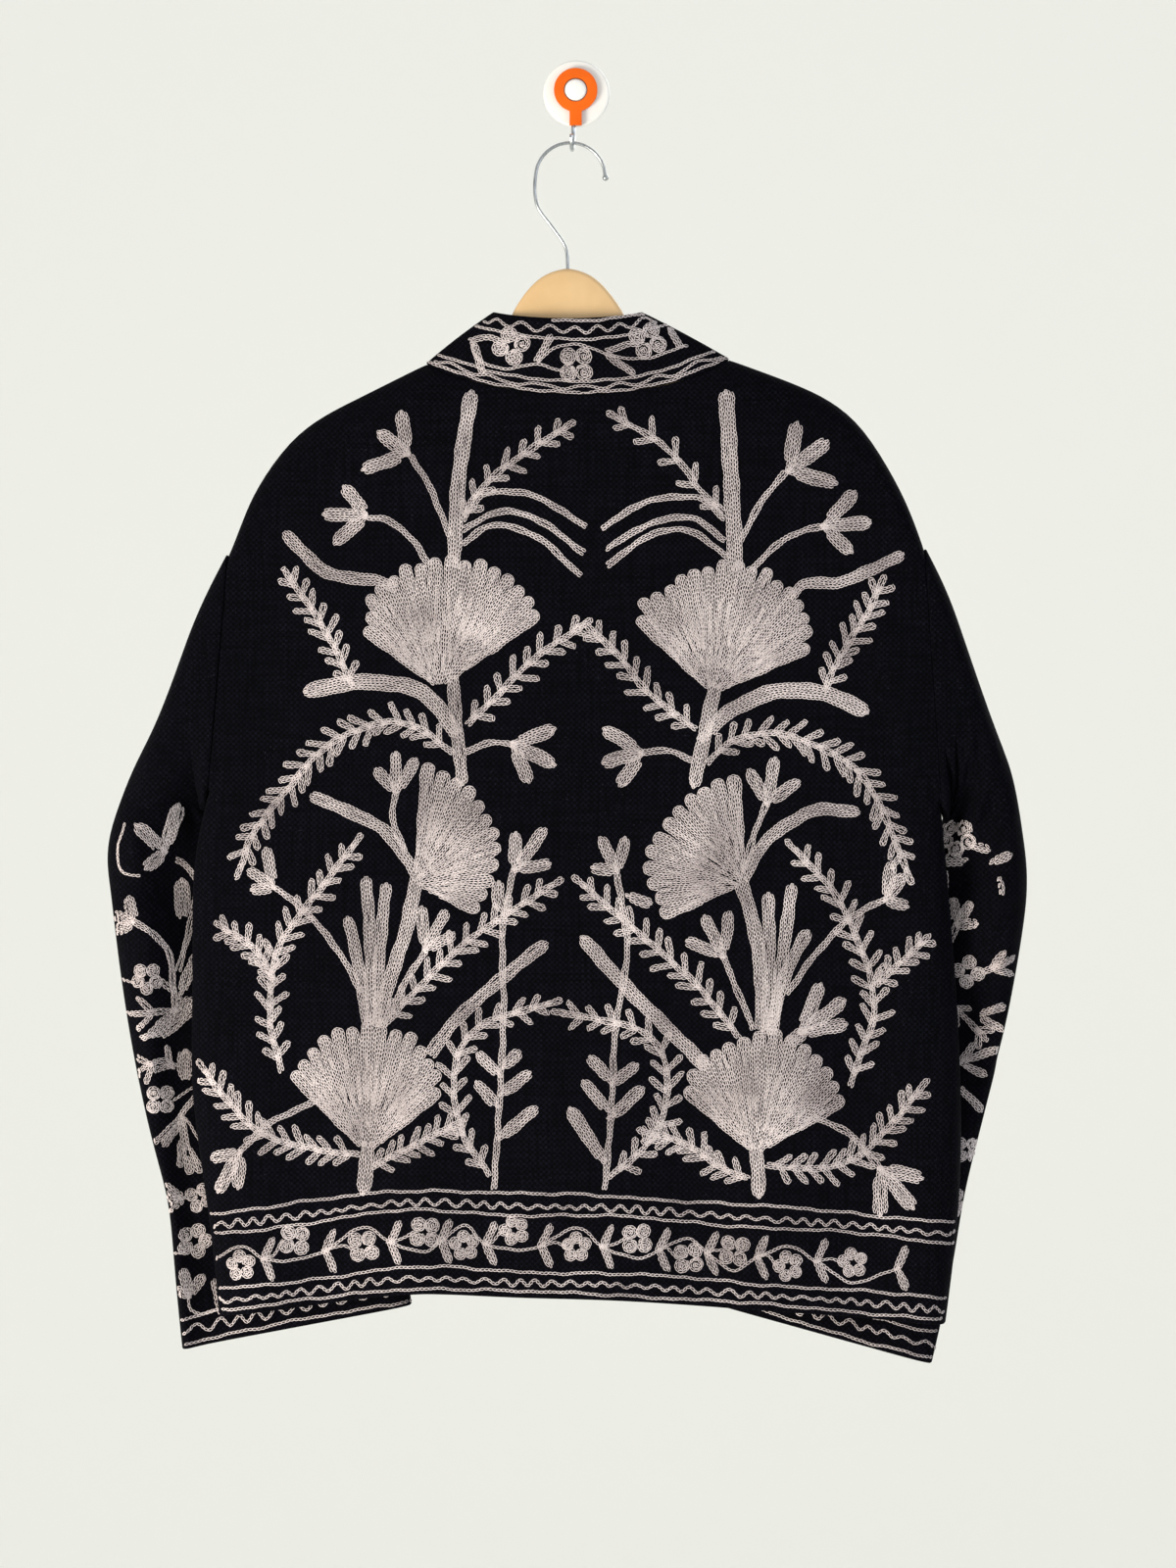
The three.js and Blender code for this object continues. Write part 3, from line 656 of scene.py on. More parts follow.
# ---------------------------------------------------------------- pattern, in chart squares
BACK_UPPER_LEFT: list[Motif] = [
    Blade(((463, 578), (468, 490), (481, 400)), 15, 0.9),
    Tulip((416, 463), ((409, 421), (387, 441), (371, 479)), 14),
    Stem(((420, 466), (440, 500), (458, 545)), 2),
    Tulip((374, 526), ((352, 497), (331, 525), (342, 554)), 14),
    Stem(((376, 528), (398, 532), (420, 550), (437, 575)), 2),
    Blade(((403, 600), (385, 592), (358, 590), (327, 580), (291, 544)), 13, 0.8),
    Fern(((472, 532), (484, 508), (506, 484), (545, 456), (576, 437)), 7, 18),
    Stem(((477, 522), (498, 503), (545, 506), (596, 536)), 2),
    Stem(((474, 540), (510, 522), (550, 531), (594, 563)), 2),
    Stem(((472, 556), (502, 536), (548, 548), (591, 586)), 2),
    Fan(
        (450, 699),
        ((374, 650), (377, 612), (392, 592), (414, 580), (438, 572), (462, 569), (492, 574), (518, 584),
         (538, 604), (551, 633)),
        16,
    ),
    Blade(((462, 690), (466, 740), (472, 800)), 13, 1.0),
    Fern(((360, 700), (345, 668), (325, 632), (296, 590)), 8, 19),
    Blade(((466, 748), (430, 706), (370, 696), (311, 706)), 16, 0.9),
    Fern(((478, 738), (505, 712), (545, 672), (592, 640)), 8, 20),
    Tulip((523, 759), ((565, 744), (565, 780), (540, 797)), 14),
    Stem(((523, 759), (500, 758), (478, 766)), 2),
    Fern(((462, 768), (425, 742), (387, 738), (333, 762), (293, 806), (259, 850), (246, 884)), 18, 20),
    Fan(
        (426, 899),
        ((430, 779), (446, 786), (468, 796), (489, 814), (505, 842), (508, 866), (505, 890), (497, 914),
         (484, 934)),
        12,
    ),
    Tulip((404, 809), ((404, 768), (384, 785), (425, 775)), 12),
    Stem(((404, 809), (401, 838), (413, 866)), 2),
    Blade(((428, 896), (395, 850), (360, 830), (318, 812)), 13, 0.9),
]
BACK_LOWER_LEFT: list[Motif] = [
    Blade(((425, 898), (414, 950), (398, 1000), (386, 1045)), 14, 1.0),
    Blade(((378, 1045), (378, 970), (374, 896)), 12, 0.9),
    Blade(((384, 1045), (388, 970), (394, 902)), 12, 0.9),
    Blade(((374, 1042), (366, 985), (355, 936)), 12, 0.8),
    Fern(((288, 1093), (277, 1050), (276, 1021), (280, 980), (294, 950), (327, 907), (361, 862)), 14, 20),
    Fern(((280, 1000), (262, 970), (230, 948)), 6, 18),
    Tulip((280, 905), ((272, 866), (257, 908), (254, 888)), 12),
    Stem(((280, 905), (312, 930), (345, 970), (368, 1010)), 2),
    Tulip((434, 970), ((430, 926), (455, 930), (463, 953)), 12),
    Stem(((434, 970), (412, 1005), (392, 1045)), 2),
    Fern(((392, 1046), (425, 1010), (470, 966), (515, 934), (562, 904)), 12, 20),
    Blade(((440, 1074), (466, 1040), (510, 1000), (557, 962)), 13, 1.0),
    Stem(((504, 1213), (510, 1120), (514, 1030), (513, 950), (524, 888)), 2),
    Tulip((525, 888), ((526, 850), (556, 846), (561, 881)), 13),
    Blade(((515, 935), (508, 918), (509, 900)), 13, 0.5),
    Blade(((513, 1090), (530, 1073)), 12, 0.6),
    Blade(((511, 1117), (541, 1094)), 12, 0.6),
    Blade(((509, 1162), (547, 1130)), 13, 0.6),
    Blade(((511, 1098), (488, 1075)), 11, 0.6),
    Blade(((509, 1130), (486, 1104)), 12, 0.6),
    Fern(((500, 1199), (474, 1160), (464, 1120), (467, 1078), (493, 1045), (560, 1024)), 12, 19),
    Fan(
        (375, 1172),
        ((300, 1103), (305, 1084), (319, 1067), (340, 1054), (363, 1045), (388, 1046), (408, 1052),
         (428, 1063), (442, 1082), (450, 1118)),
        14,
    ),
    Blade(((376, 1166), (374, 1190), (371, 1217)), 15, 1.0),
    Fern(((366, 1178), (320, 1172), (268, 1156), (232, 1122), (210, 1094)), 12, 21),
    Tulip((246, 1174), ((216, 1182), (222, 1216), (243, 1212)), 13),
    Stem(((246, 1174), (275, 1146), (321, 1124)), 2),
    Fern(((380, 1190), (415, 1172), (462, 1148)), 7, 19),
]
BACK_UPPER_RIGHT: list[Motif] = [
    Blade(((751, 580), (746, 490), (741, 399)), 16, 0.95),
    Tulip((804, 481), ((813, 432), (844, 451), (853, 493)), 15),
    Stem(((801, 482), (775, 515), (757, 550)), 2),
    Tulip((840, 537), ((872, 503), (887, 533), (868, 563)), 14),
    Stem(((840, 537), (818, 542), (790, 558), (767, 582)), 2),
    Blade(((806, 610), (822, 596), (858, 594), (885, 583), (921, 566)), 12, 0.8),
    Fern(((738, 522), (714, 500), (696, 474), (668, 448), (632, 428)), 5, 20),
    Stem(((616, 538), (660, 512), (712, 508), (738, 528)), 2),
    Stem(((619, 560), (660, 536), (704, 528), (738, 550)), 2),
    Stem(((621, 576), (664, 546), (704, 542), (742, 568)), 2),
    Fan(
        (728, 704),
        ((649, 636), (656, 614), (680, 601), (702, 584), (730, 576), (757, 575), (782, 582), (806, 600),
         (822, 622), (826, 666)),
        17,
    ),
    Blade(((730, 698), (720, 745), (708, 802)), 14, 1.0),
    Fern(((710, 744), (680, 722), (655, 700), (634, 672), (606, 645)), 8, 20),
    Blade(((715, 756), (742, 728), (790, 706), (842, 708), (885, 727)), 16, 0.8),
    Fern(((842, 704), (852, 680), (868, 652), (886, 624), (897, 600)), 8, 20),
    Tulip((655, 768), ((617, 744), (616, 778), (633, 801)), 14),
    Stem(((655, 768), (682, 766), (704, 775)), 2),
    Fern(((722, 778), (748, 756), (790, 748), (830, 760), (870, 782), (893, 812), (908, 845), (925, 888)),
        17, 21),
    Fan(
        (757, 899),
        ((756, 792), (738, 795), (715, 803), (692, 826), (674, 846), (661, 866), (659, 890), (667, 915),
         (678, 940)),
        12,
    ),
    Tulip((782, 820), ((765, 786), (791, 774), (815, 797)), 13),
    Stem(((782, 820), (770, 850), (760, 884)), 2),
    Blade(((760, 896), (775, 866), (802, 842), (836, 826), (876, 829)), 13, 0.9),
]
BACK_LOWER_RIGHT: list[Motif] = [
    Blade(((755, 898), (768, 940), (776, 990), (778, 1050)), 14, 1.0),
    Blade(((782, 1055), (785, 990), (784, 912)), 13, 0.9),
    Blade(((788, 1055), (798, 980), (808, 903)), 13, 0.8),
    Blade(((786, 1050), (801, 995), (824, 950)), 13, 0.8),
    Fern(((868, 1108), (878, 1076), (891, 1040), (889, 1000), (876, 962), (852, 912), (812, 868)), 14, 21),
    Fern(((893, 1006), (910, 990), (940, 962)), 5, 18),
    Tulip((903, 918), ((910, 880), (922, 893), (926, 925)), 13),
    Stem(((903, 918), (870, 935), (835, 970), (804, 1012)), 2),
    Tulip((738, 976), ((701, 960), (719, 935), (744, 931)), 12),
    Stem(((738, 976), (752, 1010), (768, 1048)), 2),
    Fern(((754, 1058), (735, 1034), (712, 1006), (684, 980), (652, 952), (596, 904)), 12, 21),
    Blade(((720, 1088), (690, 1058), (640, 1008), (594, 957)), 14, 1.0),
    Stem(((617, 1213), (624, 1130), (628, 1050), (640, 970), (630, 894)), 2),
    Tulip((630, 890), ((613, 855), (638, 855), (604, 885)), 12),
    Blade(((640, 914), (664, 922)), 12, 0.6),
    Blade(((624, 1104), (602, 1078)), 12, 0.6),
    Blade(((624, 1106), (650, 1086)), 12, 0.6),
    Blade(((621, 1134), (595, 1103)), 12, 0.6),
    Blade(((620, 1142), (656, 1110)), 13, 0.6),
    Blade(((617, 1184), (600, 1160), (582, 1131)), 14, 0.7),
    Fern(((622, 1200), (650, 1178), (672, 1150), (681, 1112), (676, 1076), (655, 1052), (620, 1042),
        (576, 1034)), 13, 20),
    Fan(
        (771, 1174),
        ((698, 1118), (706, 1092), (722, 1074), (742, 1062), (765, 1054), (788, 1053), (812, 1062),
         (836, 1080), (854, 1100), (863, 1128)),
        14,
    ),
    Blade(((771, 1168), (773, 1192), (774, 1220)), 14, 1.0),
    Blade(((806, 1064), (822, 1050)), 14, 0.8),
    Tulip((816, 1054), ((837, 1005), (861, 1021), (863, 1045)), 14),
    Fern(((762, 1202), (730, 1188), (702, 1168), (664, 1156)), 8, 20),
    Fern(((782, 1188), (830, 1192), (872, 1182), (905, 1152), (938, 1112)), 12, 21),
    Tulip((898, 1192), ((940, 1202), (931, 1232), (898, 1239)), 15),
    Stem(((832, 1140), (868, 1158), (898, 1192)), 2),
]
LEFT_SLEEVE: list[Motif] = [
    Tulip((166, 869), ((139, 842), (180, 822), (148, 886)), 14),
    Stem(((176, 878), (184, 882), (196, 896)), 2),
    Stem(((126, 842), (119, 872), (124, 890), (140, 893)), 1),
    Blade(((184, 936), (182, 898)), 16, 0.8),
    Tulip((136, 941), ((130, 916), (113, 934), (113, 952)), 13),
    Stem(((136, 941), (158, 955), (172, 980), (176, 1032)), 2),
    Stem(((198, 905), (190, 950), (180, 990)), 2),
    Blade(((180, 1020), (198, 975)), 12, 0.5),
    Rosette((149, 999), 7.0, 5, 18.0),
    Stem(((164, 1003), (176, 1012)), 2),
    Stem(((118, 998), (134, 1003)), 1),
    Stem(((122, 1036), (150, 1034), (178, 1032)), 2),
    Blade(((156, 1034), (139, 1019)), 7, 0.6),
    Blade(((154, 1036), (139, 1051)), 7, 0.6),
    Blade(((144, 1060), (168, 1048), (196, 1022)), 20, 0.4),
    Fern(((176, 1090), (160, 1084), (136, 1096)), 3, 21),
    Blade(((186, 1102), (186, 1074)), 16, 0.8),
    Rosette((161, 1124), 7.4),
    Stem(((176, 1124), (196, 1110)), 1),
    Stem(((196, 1122), (172, 1152), (154, 1170)), 2),
    Blade(((184, 1146), (165, 1170)), 8, 0.7),
    Blade(((182, 1142), (186, 1176)), 8, 0.7),
    Stem(((183, 1140), (200, 1166)), 1),
    Fan((184, 1168), ((178, 1190), (190, 1200), (206, 1198)), 3),
    Tulip((184, 1226), ((167, 1212), (163, 1224), (170, 1238)), 9),
    Rosette((200, 1226), 7.0, 4, 20.0),
    Rosette((195, 1270), 7.6, 5, 0.0),
    Stem(((172, 1283), (186, 1280)), 1),
    Tulip((190, 1327), ((185, 1299), (204, 1306), (178, 1318)), 11),
    Stem(((190, 1327), (191, 1340), (204, 1345), (220, 1340)), 1),
    Blade(((222, 1344), (216, 1312)), 9, 0.7),
]
RIGHT_SLEEVE: list[Motif] = [
    Rosette((979, 855), 8.4, 5, 20.0),
    Blade(((992, 863), (1010, 867)), 9, 0.6),
    Blade(((1013, 881), (1031, 872)), 9, 0.6),
    Blade(((988, 878), (962, 879)), 13, 0.6),
    Blade(((966, 914), (968, 892)), 8, 0.6),
    Blade(((1022, 912), (1020, 896)), 7, 0.6),
    Tulip((979, 945), ((976, 918), (993, 922), (999, 943)), 11),
    Stem(((979, 945), (972, 965), (970, 984)), 2),
    Rosette((990, 993), 7.6, 4, 10.0),
    Stem(((1004, 993), (1018, 987)), 2),
    Tulip((1014, 989), ((1025, 972), (1036, 978), (1035, 995)), 8),
    Fern(((976, 1030), (990, 1042), (1001, 1054)), 2, 19),
    Blade(((1002, 1038), (1024, 1052)), 9, 0.6),
    Blade(((1002, 1036), (1026, 1028)), 9, 0.6),
    Tulip((983, 1087), ((996, 1068), (1020, 1072), (1008, 1099)), 8),
    Blade(((984, 1114), (1006, 1136)), 9, 0.7),
    Rosette((990, 1177), 6.5),
    Rosette((976, 1230), 6.5),
    Fern(((962, 1196), (968, 1230), (958, 1262)), 3, 19),
]
HEM_EDGE: tuple[Point, ...] = (  # lower edge of the back
    (214, 1344), (222, 1343.5), (321, 1331.5), (418.5, 1319.5), (525, 1324), (619.5, 1325.5), (721.5, 1333),
    (837, 1340.5), (966, 1352.5), (974, 1353),
)
CUFF_LEFT: tuple[Point, Point] = ((183, 1381), (415.5, 1337.5))  # outer and inner corner of the cuff
CUFF_RIGHT: tuple[Point, Point] = ((952.5, 1397.5), (726, 1334.5))
COLLAR_TOP: tuple[Point, ...] = ((503, 317), (552, 323.5), (590, 325.6), (620, 323.5), (655.5, 317))
COLLAR_SEAM: tuple[Point, ...] = ((435, 370), (505, 394), (590, 403), (672, 394), (744, 366))
FRONT_COLLAR_TOP: tuple[Point, ...] = ((503, 317), (546, 366), (590, 390), (626, 366), (655.5, 317))
FRONT_COLLAR_SEAM: tuple[Point, ...] = ((435, 370), (512, 426), (590, 445), (666, 426), (744, 366))
HEM_FLOWERS: tuple[Point, ...] = (  # u of each flower, and its rise above the edge
    (246, 50), (301, 69), (371, 53), (434, 63), (474, 51), (525, 69), (588, 53), (650, 64), (703, 48),
    (749, 59), (804, 47), (870, 55),
)
COLLAR_BANDS: tuple[Place, ...] = (  # share of the way down, height of the wave in squares, and its phase
    (0.27, 0.0, 0.0), (0.82, 0.0, 0.0), (0.965, 0.0, 0.0), (0.145, 3.3, 0.4), (0.9, 2.3, 1.1),
)
COLLAR_VINE: list[Motif] = [
    Rosette((522, 353), 8.8, 4, -12.0),
    Rosette((588, 372), 8.9, 4, 43.0),
    Rosette((661, 347), 8.9, 4, 20.0),
    Stem(((480, 346), (488, 366), (512, 376), (545, 372), (572, 378)), 1),
    Stem(((480, 346), (500, 344), (514, 350)), 2),
    Stem(((550, 370), (562, 357), (580, 352), (600, 354), (618, 361)), 1),
    Stem(((618, 361), (640, 366), (665, 364), (700, 352)), 1),
    Stem(((620, 358), (640, 352), (650, 351)), 2),
    Blade(((492, 378), (483, 350)), 7.4, 0.8),
    Blade(((548, 368), (562, 344)), 8.0, 0.8),
    Blade(((620, 362), (646, 381)), 7.4, 0.8),
    Blade(((694, 352), (684, 334)), 7.4, 0.8),
]


@dataclass
class Border:
    """Rows that run along an edge of the cloth: plain chains, waves, and a vine with flowers."""

    edge: np.ndarray  # the edge they follow, in chart squares
    rows: Rows = field(default_factory=list)
    wave_length: float = 18.0
    wave_height: float = 2.8
    line_sway: tuple[Point, ...] = ((1.1, 37.0), (0.6, 11.0))  # heights and lengths
    wave_drift: tuple[Point, ...] = ((1.3, 47.0), (0.7, 13.0))  # of the phase
    height_play: Place = (0.85, 0.3, 31.0)  # the least share, and what waves of which length add to it
    vine_rise: float = 54.0  # middle of the vine above the edge
    vine_bow: float = 20.0  # it passes this far over or under a flower
    petals: tuple[Point, Point] = ((5, 6.6), (4, 7.8))  # number and radius, in the two kinds of flower
    lead: float = 4.0  # the vine crosses over this far before the middle between two flowers
    flower_turn: Place = (45.0, 9.0, 2.3)  # degrees, their play, and its phase from one to the next
    leaf_tip: Point = (9, 20)  # from its root, along and across
    leaf_width: float = 8.0
    leaf_root: float = 0.8  # share of its width at its root
    stalk: tuple[Point, Point] = ((22, 3), (13, 0))  # its bend and tip: back from the next flower, and up

    def at(self, place: np.ndarray, rise: np.ndarray | float) -> np.ndarray:
        """Finds points above the edge.

        Args:
            place: u of each point.
            rise: squares above the edge.

        Returns:
            Chart points.
        """
        return paired(place, np.interp(place, self.edge[:, 0], self.edge[:, 1]) - rise)

    def line(self, low: float, high: float, rise: float) -> None:
        """Adds a plain, slightly swaying chain from u low to u high."""
        place = np.arange(low, high, 2.0)
        self.rows.append(self.at(place, rise + swaying(place, self.line_sway, (rise, 2 * rise))))

    def wave(self, low: float, high: float, rise: float) -> None:
        """Adds a waved chain of uneven length and height.

        Args:
            low: u of its start.
            high: u of its end.
            rise: of its middle, above the edge.
        """
        place = np.arange(low, high, 1.0)
        phase = 2 * math.pi * place / self.wave_length + swaying(place, self.wave_drift, (0.0, rise))
        least, more, length = self.height_play
        height = self.wave_height * (least + more * np.sin(place / length + rise))
        self.rows.append(self.at(place, rise + height * np.sin(phase)))

    def trail(self, path: list[Point]) -> None:
        """Adds a smooth chain through points given as u and rise."""
        bent = smooth_path(np.array(path))
        self.rows.append(self.at(bent[:, 0], bent[:, 1]))

    def flower(self, place: float, rise: float, turn: float) -> None:
        """Adds a rosette of four large or five small petals on the vine.

        Args:
            place: u of its middle.
            rise: the same, above the edge.
            turn: of its first petal, in degrees.
        """
        centre = self.at(np.array([place]), rise)[0]
        petals, petal = self.petals[0 if int(place) % 3 == 0 else 1]
        self.rows.extend(Rosette((centre[0], centre[1]), petal, petals, turn).rows())

    def leaves(self, place: float, rise: float) -> None:
        """Adds the two narrow leaves that stand where the vine crosses over.

        Args:
            place: u of their root.
            rise: the same, above the edge.
        """
        u, v = self.at(np.array([place]), rise)[0]
        along, across = self.leaf_tip
        for up in (-1, 1):
            path = ((u, v), (u + along, v + up * across))
            self.rows.extend(Blade(path, self.leaf_width, self.leaf_root).rows())

    def vine(self, spots: tuple[Point, ...], start: float, end: float) -> None:
        """Adds flowers, the vine that bows over and under them, and leaves between them.

        Args:
            spots: u of each flower, and its rise above the edge.
            start: u at which the vine begins.
            end: u at which it ends.
        """
        middle = self.vine_rise
        way = [(start, middle)]
        following = [*spots[1:], (end, None)]
        for number, ((place, rise), (after, next_rise)) in enumerate(zip(spots, following)):
            side = 1.0 if rise < middle else -1.0
            cross = (place + after) / 2 - self.lead
            way += [(place, rise + side * self.vine_bow), (cross, middle)]
            self.leaves(cross, middle)
            turn, play, beat = self.flower_turn
            self.flower(place, rise, turn + play * math.sin(beat * number))
            if next_rise is not None:
                bend, tip = self.stalk
                under, touch = (after - bend[0], middle + bend[1]), (after - tip[0], next_rise + tip[1])
                self.trail([(cross, middle), under, touch])
        self.trail(way)


# ---------------------------------------------------------------- stitching
STITCH_INPUTS = {
    "Rows": "Geometry", "Cloth": "Object", "Link": "Object", "Yarn": "Material", "Pitch": "Float",
    "Ray": "Vector", "Sink": "Float", "Spread": "Float", "Steepest": "Float", "Lean": "Vector", "Seed": "Int",
}


@dataclass
class ChainStitcher:
    """Sets chain stitches along rows, on the face of a piece of cloth, by one node tree."""

    yarn: Material
    places: int = 6  # corners round a link
    belly: Point = (0.96, 0.32)  # its width, and how much wider its head is than its foot
    dip: float = 0.16 * MM  # its head lies this much lower than its middle
    crest: float = 1.7  # height of the yarn's ridge, in radii
    spread: float = 0.1  # the links differ in size by this share
    steepest: float = -0.4  # least turn of the cloth towards the viewer on which a stitch is set
    lean: Place = (0.16, 0.12, 0.13)  # most that a link leans about its own axes, in radians
    sway: tuple[Point, ...] = ((0.45, 7.5), (0.3, 3.6))  # squares aside, and over which length
    late: float = 0.8  # a row starts up to this share of a stitch late
    shortest: int = 6  # a row that would be left with no more points than this starts at once
    link: Object = field(init=False)
    tree: NodeTree = field(init=False)
    sockets: dict[str, str] = field(init=False, default_factory=dict)

    def __post_init__(self) -> None:
        """Makes the link and the node tree."""
        self.link = self.make_link()
        self.tree = self.make_tree()

    def make_link(self) -> Object:
        """Models one chain link: a drop-shaped loop of yarn, open underneath.

        Returns:
            The link, along +X and facing +Z, not linked to the scene.
        """
        half_length, half_width = LINK_LENGTH / 2 - YARN_RADIUS, LINK_WIDTH / 2 - YARN_RADIUS
        path = []
        for number in range(self.places):
            angle = 2 * math.pi * (number + 0.5) / self.places
            along = math.cos(angle)
            wide = math.sin(angle) * (self.belly[0] + self.belly[1] * along)
            path.append(Vector((along * half_length, wide * half_width, -self.dip * along)))
        verts, faces = [], []
        for number, here in enumerate(path):
            following = (number + 1) % self.places
            way = (path[following] - path[number - 1]).normalized()
            out = Vector((way.y, -way.x, 0.0)).normalized()
            ridge = here + Vector((0, 0, self.crest * YARN_RADIUS))
            verts += [here + out * YARN_RADIUS, ridge, here - out * YARN_RADIUS]
            near, far = 3 * number, 3 * following
            faces += [(near + k, far + k, far + k + 1, near + k + 1) for k in (0, 1)]
        mesh = bpy.data.meshes.new("chain_link")
        mesh.from_pydata([tuple(v) for v in verts], [], faces)
        mesh.polygons.foreach_set("use_smooth", [True] * len(mesh.polygons))
        # painted shade: crest runs from 0 at the yarn's foot to 1 on its ridge; the yarn material darkens the
        # foot by it
        crest = mesh.attributes.new("crest", "FLOAT", "POINT")
        crest.data.foreach_set("value", [0.0, 1.0, 0.0] * self.places)
        return bpy.data.objects.new("chain_link", mesh)

    def make_tree(self) -> NodeTree:
        """Builds the tree: rows are dropped on the cloth, and a link is set at each stitch.

        Returns:
            The node tree.
        """
        tree = bpy.data.node_groups.new("chain_stitch", "GeometryNodeTree")
        for name, kind in STITCH_INPUTS.items():
            socket = tree.interface.new_socket(name=name, in_out="INPUT", socket_type="NodeSocket" + kind)
            self.sockets[name] = socket.identifier
        tree.interface.new_socket(name="Stitches", in_out="OUTPUT", socket_type="NodeSocketGeometry")
        given = add_node(tree, "NodeGroupInput").outputs
        curve = add_node(tree, "GeometryNodeMeshToCurve", {"Mesh": given["Rows"]})
        spots = add_node(
            tree, "GeometryNodeCurveToPoints", {"Curve": curve, "Length": given["Pitch"]}, mode="LENGTH"
        )
        cloth = add_node(tree, "GeometryNodeObjectInfo", {"Object": given["Cloth"]}).outputs["Geometry"]
        ray = add_node(tree, "GeometryNodeRaycast", {0: cloth, "Ray Direction": given["Ray"]}).outputs
        normal = ray["Hit Normal"]
        missed = add_node(tree, "FunctionNodeBooleanMath", {0: ray["Is Hit"]}, operation="NOT")
        slope = add_node(tree, "ShaderNodeVectorMath", {0: normal, 1: given["Ray"]}, operation="DOT_PRODUCT")
        slope = slope.outputs["Value"]
        steep = add_node(tree, "ShaderNodeMath", {0: slope, 1: given["Steepest"]}, operation="GREATER_THAN")
        left_out = add_node(tree, "FunctionNodeBooleanMath", {0: missed, 1: steep}, operation="OR")
        kept = add_node(
            tree, "GeometryNodeDeleteGeometry", {"Geometry": spots, "Selection": left_out}, domain="POINT"
        )
        for name, value in (("facing", normal), ("heading", spots.outputs["Tangent"])):
            kept = add_node(
                tree, "GeometryNodeStoreNamedAttribute", {"Geometry": kept, "Name": name, "Value": value},
                data_type="FLOAT_VECTOR", domain="POINT",
            )
        sunk = add_node(tree, "ShaderNodeVectorMath", {0: normal, "Scale": given["Sink"]}, operation="SCALE")
        spot = add_node(tree, "ShaderNodeVectorMath", {0: ray["Hit Position"], 1: sunk}, operation="SUBTRACT")
        placed = add_node(tree, "GeometryNodeSetPosition", {"Geometry": kept, "Position": spot})
        up, way = (
            add_node(tree, "GeometryNodeInputNamedAttribute", {"Name": name}, data_type="FLOAT_VECTOR")
            for name in ("facing", "heading")
        )
        turn = add_node(
            tree, "FunctionNodeAxesToRotation", {"Primary Axis": up, "Secondary Axis": way},
            primary_axis="Z", secondary_axis="X",
        )
        back = add_node(tree, "ShaderNodeVectorMath", {0: given["Lean"], "Scale": -1.0}, operation="SCALE")
        lean = add_node(
            tree, "FunctionNodeRandomValue", {0: back, 1: given["Lean"], "Seed": given["Seed"]},
            data_type="FLOAT_VECTOR",
        )
        leaning = add_node(tree, "FunctionNodeEulerToRotation", {"Euler": lean})
        turned = add_node(tree, "FunctionNodeRotateRotation", {0: turn, 1: leaning}, rotation_space="LOCAL")
        least, most = (
            add_node(tree, "ShaderNodeMath", {0: 1.0, 1: given["Spread"]}, operation=sign)
            for sign in ("SUBTRACT", "ADD")
        )
        size = add_node(
            tree, "FunctionNodeRandomValue", {0: least, 1: most, "Seed": given["Seed"]},
            data_type="FLOAT_VECTOR",
        )
        shape = add_node(tree, "GeometryNodeObjectInfo", {"Object": given["Link"], "As Instance": True})
        links = add_node(
            tree, "GeometryNodeInstanceOnPoints",
            {"Points": placed, "Instance": shape.outputs["Geometry"], "Rotation": turned, "Scale": size},
        )
        real = add_node(tree, "GeometryNodeRealizeInstances", {"Geometry": links})
        dyed = add_node(tree, "GeometryNodeSetMaterial", {"Geometry": real, "Material": given["Yarn"]})
        add_node(tree, "NodeGroupOutput", {0: dyed})
        return tree

    def by_hand(self, row: np.ndarray, chance: np.random.Generator) -> np.ndarray:
        """Makes a row a little uneven, as hand stitching is.

        Args:
            row: its path on the chart.
            chance: source of the unevenness.

        Returns:
            The path as it is stitched.
        """
        fine = resample(row, 1.0)
        along = np.arange(len(fine))
        phases = chance.uniform(0.0, 2 * math.pi, len(self.sway))
        fine = fine + normals_of(fine) * swaying(along, self.sway, phases)[:, None]
        late = int(chance.uniform(0.0, STITCH_PITCH / CHART_STEP * self.late))
        return fine[late:] if len(fine) > late + self.shortest else fine

    def stitch(self, name: str, rows: Rows, cloth: Object, facing: Facing, seed: int) -> Object:
        """Stitches rows on a piece of cloth.

        Args:
            name: name of the new piece.
            rows: the rows, in chart squares.
            cloth: the piece they are stitched on.
            facing: the side of it that they are on.
            seed: picks the small unevenness of the links.

        Returns:
            The stitches, as one plain mesh that rides on the part.
        """
        verts, edges = [], []
        chance = np.random.default_rng(seed)
        for row in rows:
            first = len(verts)
            verts += [(x, facing.value * RAY_START_Y, z) for x, z in on_chart(self.by_hand(row, chance))]
            edges += [(k, k + 1) for k in range(first, len(verts) - 1)]
        mesh = bpy.data.meshes.new(name + "_rows")
        mesh.from_pydata(verts, edges, [])
        obj = add_object(name, mesh)
        modifier = obj.modifiers.new("stitches", "NODES")
        modifier.node_group = self.tree
        values = {
            "Cloth": cloth, "Link": self.link, "Pitch": STITCH_PITCH, "Ray": (0.0, -facing.value, 0.0),
            "Sink": STITCH_SINK, "Spread": self.spread, "Steepest": self.steepest, "Lean": self.lean,
            "Seed": seed, "Yarn": self.yarn,
        }
        for key, value in values.items():
            modifier[self.sockets[key]] = value
        baked = bake(obj)
        baked.materials.clear()
        baked.materials.append(self.yarn)
        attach(obj, "root")
        log.info("%s: %d rows, %d faces", name, len(rows), len(baked.polygons))
        return obj


def bake(obj: Object) -> Mesh:
    """Turns an object's live modifiers into its plain mesh.

    Args:
        obj: a mesh object with modifiers.

    Returns:
        The new mesh, which the object now holds.
    """
    bpy.context.view_layer.update()
    graph = bpy.context.evaluated_depsgraph_get()
    mesh = bpy.data.meshes.new_from_object(obj.evaluated_get(graph), depsgraph=graph)
    obj.modifiers.clear()
    obj.data = mesh
    mesh.name = obj.name
    return mesh


